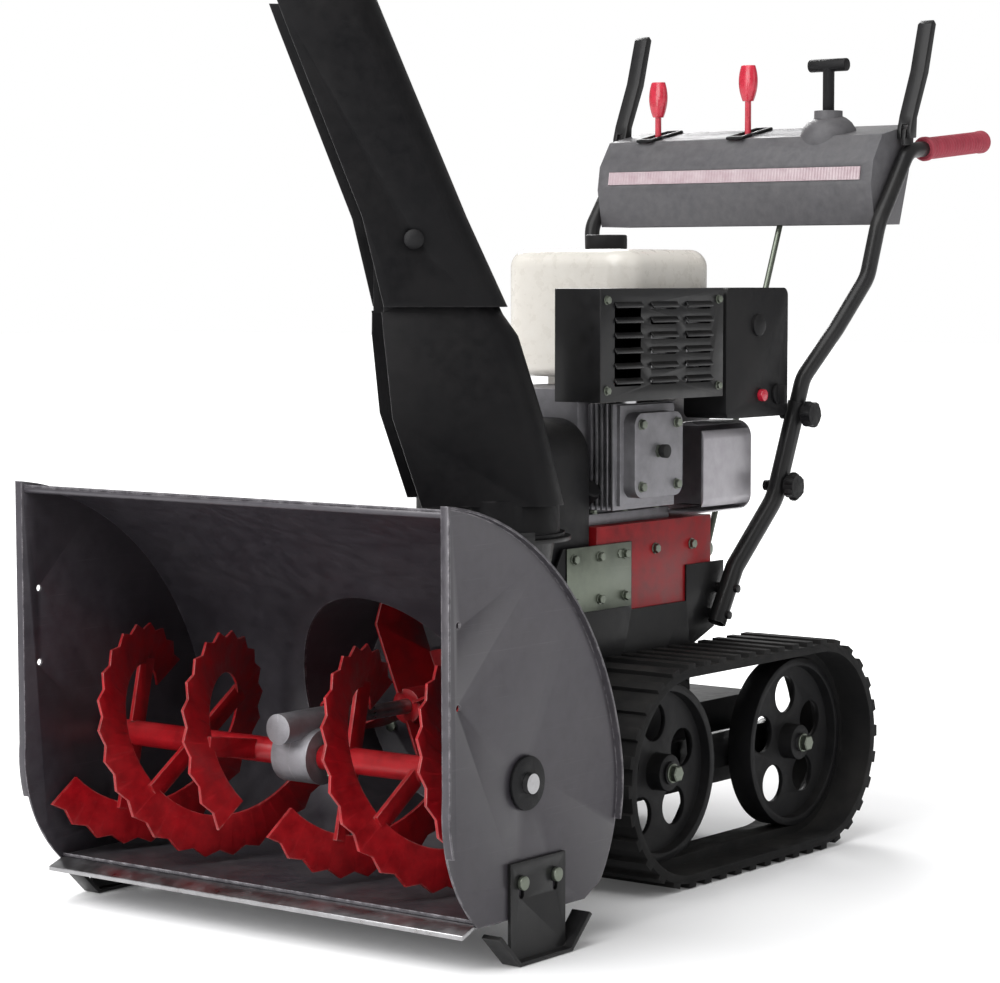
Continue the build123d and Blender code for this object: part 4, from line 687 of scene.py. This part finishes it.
def makeBracket():
    # zinc-plated plate bolted outside each cheek, beside the belts
    inside, outside = bracketPlate["out"], bracketPlate["out"] + bracketPlate["sheet"]
    plates = []
    for side in both:
        x0, x1 = sorted((side * inside, side * outside))
        plates.append(slab("plate", (x0, bracketPlate["front"], bracketPlate["low"]),
                           (x1, bracketPlate["rear"], bracketPlate["high"]), bracketPlate["rounding"], 2))
    hold(joined("bracketPlates", plates), "chassis", "zinc_steel")
    model = hexBolt("bracketBolt", bracketPlate["bolt"])
    places = [((side * outside, y, z), (side, 0, 0))
              for side in both for y in bracketPlate["boltsY"] for z in bracketPlate["boltsZ"]]
    hold(copies("bracketBolts", model, places), "chassis", "zinc_steel")


louvre = {"columns": 3, "rows": 6, "firstY": 0.034, "stepY": 0.088, "firstZ": 0.022, "stepZ": 0.021,
          "low": (-0.0010, -0.002, 0.0055), "high": (0.0050, 0.064, 0.0105), "rounding": 0.0018,
          "lipFrom": 0.002, "lipDrop": 0.0035, "bolt": 0.0055, "boltsY": (0.014, 0.292), "boltsZ": (0.016,
                                                                                                    0.140)}


def makeLouvres():
    # pressed hoods over the guard's slots, each with its outer lip drawn down
    low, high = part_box("muffler_guard")
    outer = high[0]
    hoods = []
    for column in range(louvre["columns"]):
        for row in range(louvre["rows"]):
            start = (outer, low[1] + louvre["firstY"] + louvre["stepY"] * column,
                     low[2] + louvre["firstZ"] + louvre["stepZ"] * row)
            hood = slab("hood", [a + b for a, b in zip(start, louvre["low"])],
                        [a + b for a, b in zip(start, louvre["high"])], louvre["rounding"])
            makeActive(hood)
            bpy.ops.object.mode_set(mode="EDIT")
            bpy.ops.mesh.select_all(action="DESELECT")
            bpy.ops.object.mode_set(mode="OBJECT")
            for vertex in hood.data.vertices:
                vertex.select = vertex.co.x > outer + louvre["lipFrom"]
            bpy.ops.object.mode_set(mode="EDIT")
            bpy.ops.transform.translate(value=(0, 0, -louvre["lipDrop"]))
            bpy.ops.object.mode_set(mode="OBJECT")
            hoods.append(hood)
    hold(joined("guardLouvres", hoods), "chassis", "black_paint")
    model = hexBolt("guardBolt", louvre["bolt"])
    places = [((outer, low[1] + y, low[2] + z), (1, 0, 0)) for y in louvre["boltsY"] for z in louvre["boltsZ"]]
    hold(copies("guardBolts", model, places), "chassis", "zinc_steel")


blowerScreen = {"z": 0.575, "bars": 28, "barLow": (0.040, -0.0010, -0.0018), "barHigh": (0.082, 0.0018, 0.0018),
                "rounding": 0.0007, "bolt": 0.0055, "boltRing": 0.104, "boltTurns": (20,
                                                                                     110), "boltInset": 0.022,
                "cup": ((0.038, -0.001), (0.038, 0.0015), (0.034, 0.004), (0.020, 0.0042), (0.017, 0.0030),
                        (0.004, 0.0028))}


def makeBlowerScreen():
    # ring of guard bars over the fan, with the cup in the middle
    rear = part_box("recoil_cover")[1][1]
    middle = (0.0, rear, blowerScreen["z"])
    bars = []
    for number in range(blowerScreen["bars"]):
        turn = 2 * math.pi * number / blowerScreen["bars"]
        bar = slab("bar", blowerScreen["barLow"], blowerScreen["barHigh"], blowerScreen["rounding"], 2)
        bar.matrix_world = Matrix.Translation(middle) @ Matrix.Rotation(-turn, 4, "Y")
        bars.append(applied(bar))
    hold(joined("fanBars", bars), "chassis", "black_plastic")
    cup = turned("starterCup", blowerScreen["cup"], 48)
    hold(pointed(cup, middle, (0, 1, 0)), "chassis", "silver_paint")
    model = hexBolt("blowerBolt", blowerScreen["bolt"])
    places = []
    for degrees in blowerScreen["boltTurns"]:
        turn = math.radians(degrees)
        places.append(((blowerScreen["boltRing"] * math.cos(turn), rear - blowerScreen["boltInset"],
                        blowerScreen["z"] + blowerScreen["boltRing"] * math.sin(turn)), (0, 1, 0)))
    hold(copies("blowerBolts", model, places), "chassis", "zinc_steel")


sparkPlug = {"z": 0.600, "inset": 0.002, "bootInset": 0.004, "bolt": 0.0068, "boltZ": 0.595, "boltReach": 0.044,
             "plug": ((0.0100, 0), (0.0100, 0.006), (0.0060, 0.007), (0.0055, 0.016)),
             "boot": ((0.0075, 0.010), (0.0095, 0.012), (0.0098, 0.020), (0.0085, 0.021))}


def makeSparkPlug():
    # plug in the head with its rubber boot, pointing out to the side
    low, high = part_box("cylinder_head")
    middle = Vector((high[0] - sparkPlug["inset"], (low[1] + high[1]) / 2, sparkPlug["z"]))
    plug = turned("plug", sparkPlug["plug"], 6)
    hold(pointed(plug, middle, (1, 0, 0)), "chassis", "zinc_steel")
    boot = turned("boot", sparkPlug["boot"], 24)
    hold(pointed(boot, middle - Vector((sparkPlug["bootInset"], 0, 0)), (1, 0, 0)), "chassis", "belt_rubber")
    model = hexBolt("headBolt", sparkPlug["bolt"])
    reach = sparkPlug["boltReach"]
    places = [((high[0], middle.y + y, sparkPlug["boltZ"] + z), (1, 0, 0))
              for y in (-reach, reach) for z in (-reach, reach)]
    hold(copies("headBolts", model, places), "chassis", "zinc_steel")


oilFiller = {"place": (-0.013, 0.016, 0.035), "lean": (0.7, -0.3, 0.6), "bolt": 0.006,
             "neck": ((0.012, 0), (0.012, 0.020), (0.014, 0.022), (0.014, 0.030), (0.012, 0.032)),
             "boltX": 0.101, "boltShift": 0.002, "boltsY": (0.03, 0.105, 0.185), "boltZ": 0.016}


def makeOilFiller():
    # leaning filler at the foot of the crankcase, and the bolts that hold the crankcase down
    low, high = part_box("crankcase")
    place = (high[0] + oilFiller["place"][0], low[1] + oilFiller["place"][1], low[2] + oilFiller["place"][2])
    neck = turned("oilNeck", oilFiller["neck"], 32)
    hold(pointed(neck, place, oilFiller["lean"]), "chassis", "black_plastic")
    model = hexBolt("caseBolt", oilFiller["bolt"])
    places = [((side * oilFiller["boltX"] - oilFiller["boltShift"], low[1] + y, low[2] + oilFiller["boltZ"]),
               (0, 0, 1)) for side in both for y in oilFiller["boltsY"]]
    hold(copies("caseBolts", model, places), "chassis", "zinc_steel")


pivotCap = {"out": 0.084, "steps": ((0.013, 0), (0.013, 0.004), (0.010, 0.007), (0.004, 0.008))}


def makeChuteBolts():
    # round caps on the ends of the deflector's pivot
    pivot = next(joint for joint in frame["joints"] if joint["name"] == "deflector_tilt")
    middle = Vector(pivot["pos_m"])
    across = Vector(pivot["axis"])
    model = turned("pivotCap", pivotCap["steps"], 32)
    places = [(middle + across * (side * pivotCap["out"]), across * side) for side in both]
    hold(copies("pivotCaps", model, places), "chute", "black_plastic")


axleNut = {"size": 0.012, "sunk": 0.0002, "z": 0.157, "frontReach": 0.125}


def makeAxleNuts():
    # nut and washer on the end of every wheel's shaft
    for nodeName, body in (("drive_axle", "axle"), ("track_frames", "chassis")):
        low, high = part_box(nodeName)
        y = (low[1] + high[1]) / 2 if body == "axle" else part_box("idler_wheels")[0][1] + axleNut["frontReach"]
        model = hexBolt("axleNut", axleNut["size"])
        places = [((side * (high[0] - axleNut["sunk"]), y, axleNut["z"]), (side, 0, 0)) for side in both]
        hold(copies(body + "Nuts", model, places), body, "zinc_steel")


dashTrim = {"gatesX": (-0.180, -0.009), "half": 0.016, "front": 0.4475, "rear": 0.5395, "under": 0.002,
            "over": 0.0030, "rounding": 0.0022, "holeHalf": 0.0088, "holeFront": 0.4555, "holeRear": 0.5320,
            "holeDeep": 0.010, "holeRounding": 0.0015, "turnY": 0.4935, "turnZ": 1.0712,
            "slope": math.radians(11.6), "humpPlace": (0.138, 0.4889, 1.068), "humpLean": (0, -0.2, 1),
            "hump": ((0.045, -0.012), (0.044, 0.000), (0.038, 0.012), (0.030, 0.020), (0.0225, 0.024))}


def makeDashTrim():
    # gates round the two lever slots, and the hump under the chute handle
    trims = []
    for x in dashTrim["gatesX"]:
        outer = slab("gate", (x - dashTrim["half"], dashTrim["front"], -dashTrim["under"]),
                     (x + dashTrim["half"], dashTrim["rear"], dashTrim["over"]), dashTrim["rounding"])
        inner = slab("gateHole", (x - dashTrim["holeHalf"], dashTrim["holeFront"], -dashTrim["holeDeep"]),
                     (x + dashTrim["holeHalf"], dashTrim["holeRear"], dashTrim["holeDeep"]),
                     dashTrim["holeRounding"])
        makeActive(outer)
        bpy.ops.object.modifier_add(type="BOOLEAN")
        outer.modifiers[-1].object = inner
        outer.modifiers[-1].solver = "EXACT"
        bpy.ops.object.modifier_apply(modifier=outer.modifiers[-1].name)
        bpy.data.objects.remove(inner)
        # the gate is drawn level and then laid on the sloping top of the dash
        outer.matrix_world = Matrix.Translation((0, dashTrim["turnY"], dashTrim["turnZ"])) \
            @ Matrix.Rotation(dashTrim["slope"], 4, "X") @ Matrix.Translation((0, -dashTrim["turnY"], 0))
        trims.append(applied(outer))
    hold(joined("leverGates", trims), "chassis", "black_plastic")
    hump = turned("handleHump", dashTrim["hump"], 48)
    hold(pointed(hump, dashTrim["humpPlace"], dashTrim["humpLean"]), "chassis", "dash_plastic")


deckBolt = {"size": 0.007, "y": (0.05, 0.145, 0.24), "z": 0.115}


def makeDeckBolts():
    low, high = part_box("engine_deck")
    model = hexBolt("deckBolt", deckBolt["size"])
    places = [((side * high[0], low[1] + y, low[2] + deckBolt["z"]), (side, 0, 0))
              for side in both for y in deckBolt["y"]]
    hold(copies("deckBolts", model, places), "chassis", "zinc_steel")


coverScrew = {"x": 0.085, "z": (0.40, 0.52), "knobZ": 0.775,
              "screw": ((0.0065, 0), (0.0065, 0.0015), (0.0052, 0.0036), (0.002, 0.0042)),
              "knob": ((0.016, 0), (0.016, 0.004), (0.011, 0.008), (0.003, 0.009))}


def makeCoverScrews():
    # screws of the belt cover, and the knob that closes the air box
    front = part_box("belt_cover")[0][1]
    model = turned("coverScrew", coverScrew["screw"], 24)
    places = [((x, front, z), (0, -1, 0)) for x in (-coverScrew["x"], coverScrew["x"]) for z in coverScrew["z"]]
    hold(copies("coverScrews", model, places), "chassis", "zinc_steel")
    low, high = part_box("air_box")
    model = turned("boxKnob", coverScrew["knob"], 28)
    hold(pointed(model, (high[0], (low[1] + high[1]) / 2, coverScrew["knobZ"]), (1, 0, 0)), "chassis",
         "black_plastic")


makeGrips()
makeStarKnobs()
makeFuelCap()
makeBracket()
makeLouvres()
makeBlowerScreen()
makeSparkPlug()
makeOilFiller()
makeChuteBolts()
makeAxleNuts()
makeDashTrim()
makeDeckBolts()
makeCoverScrews()
print("small pieces are on")
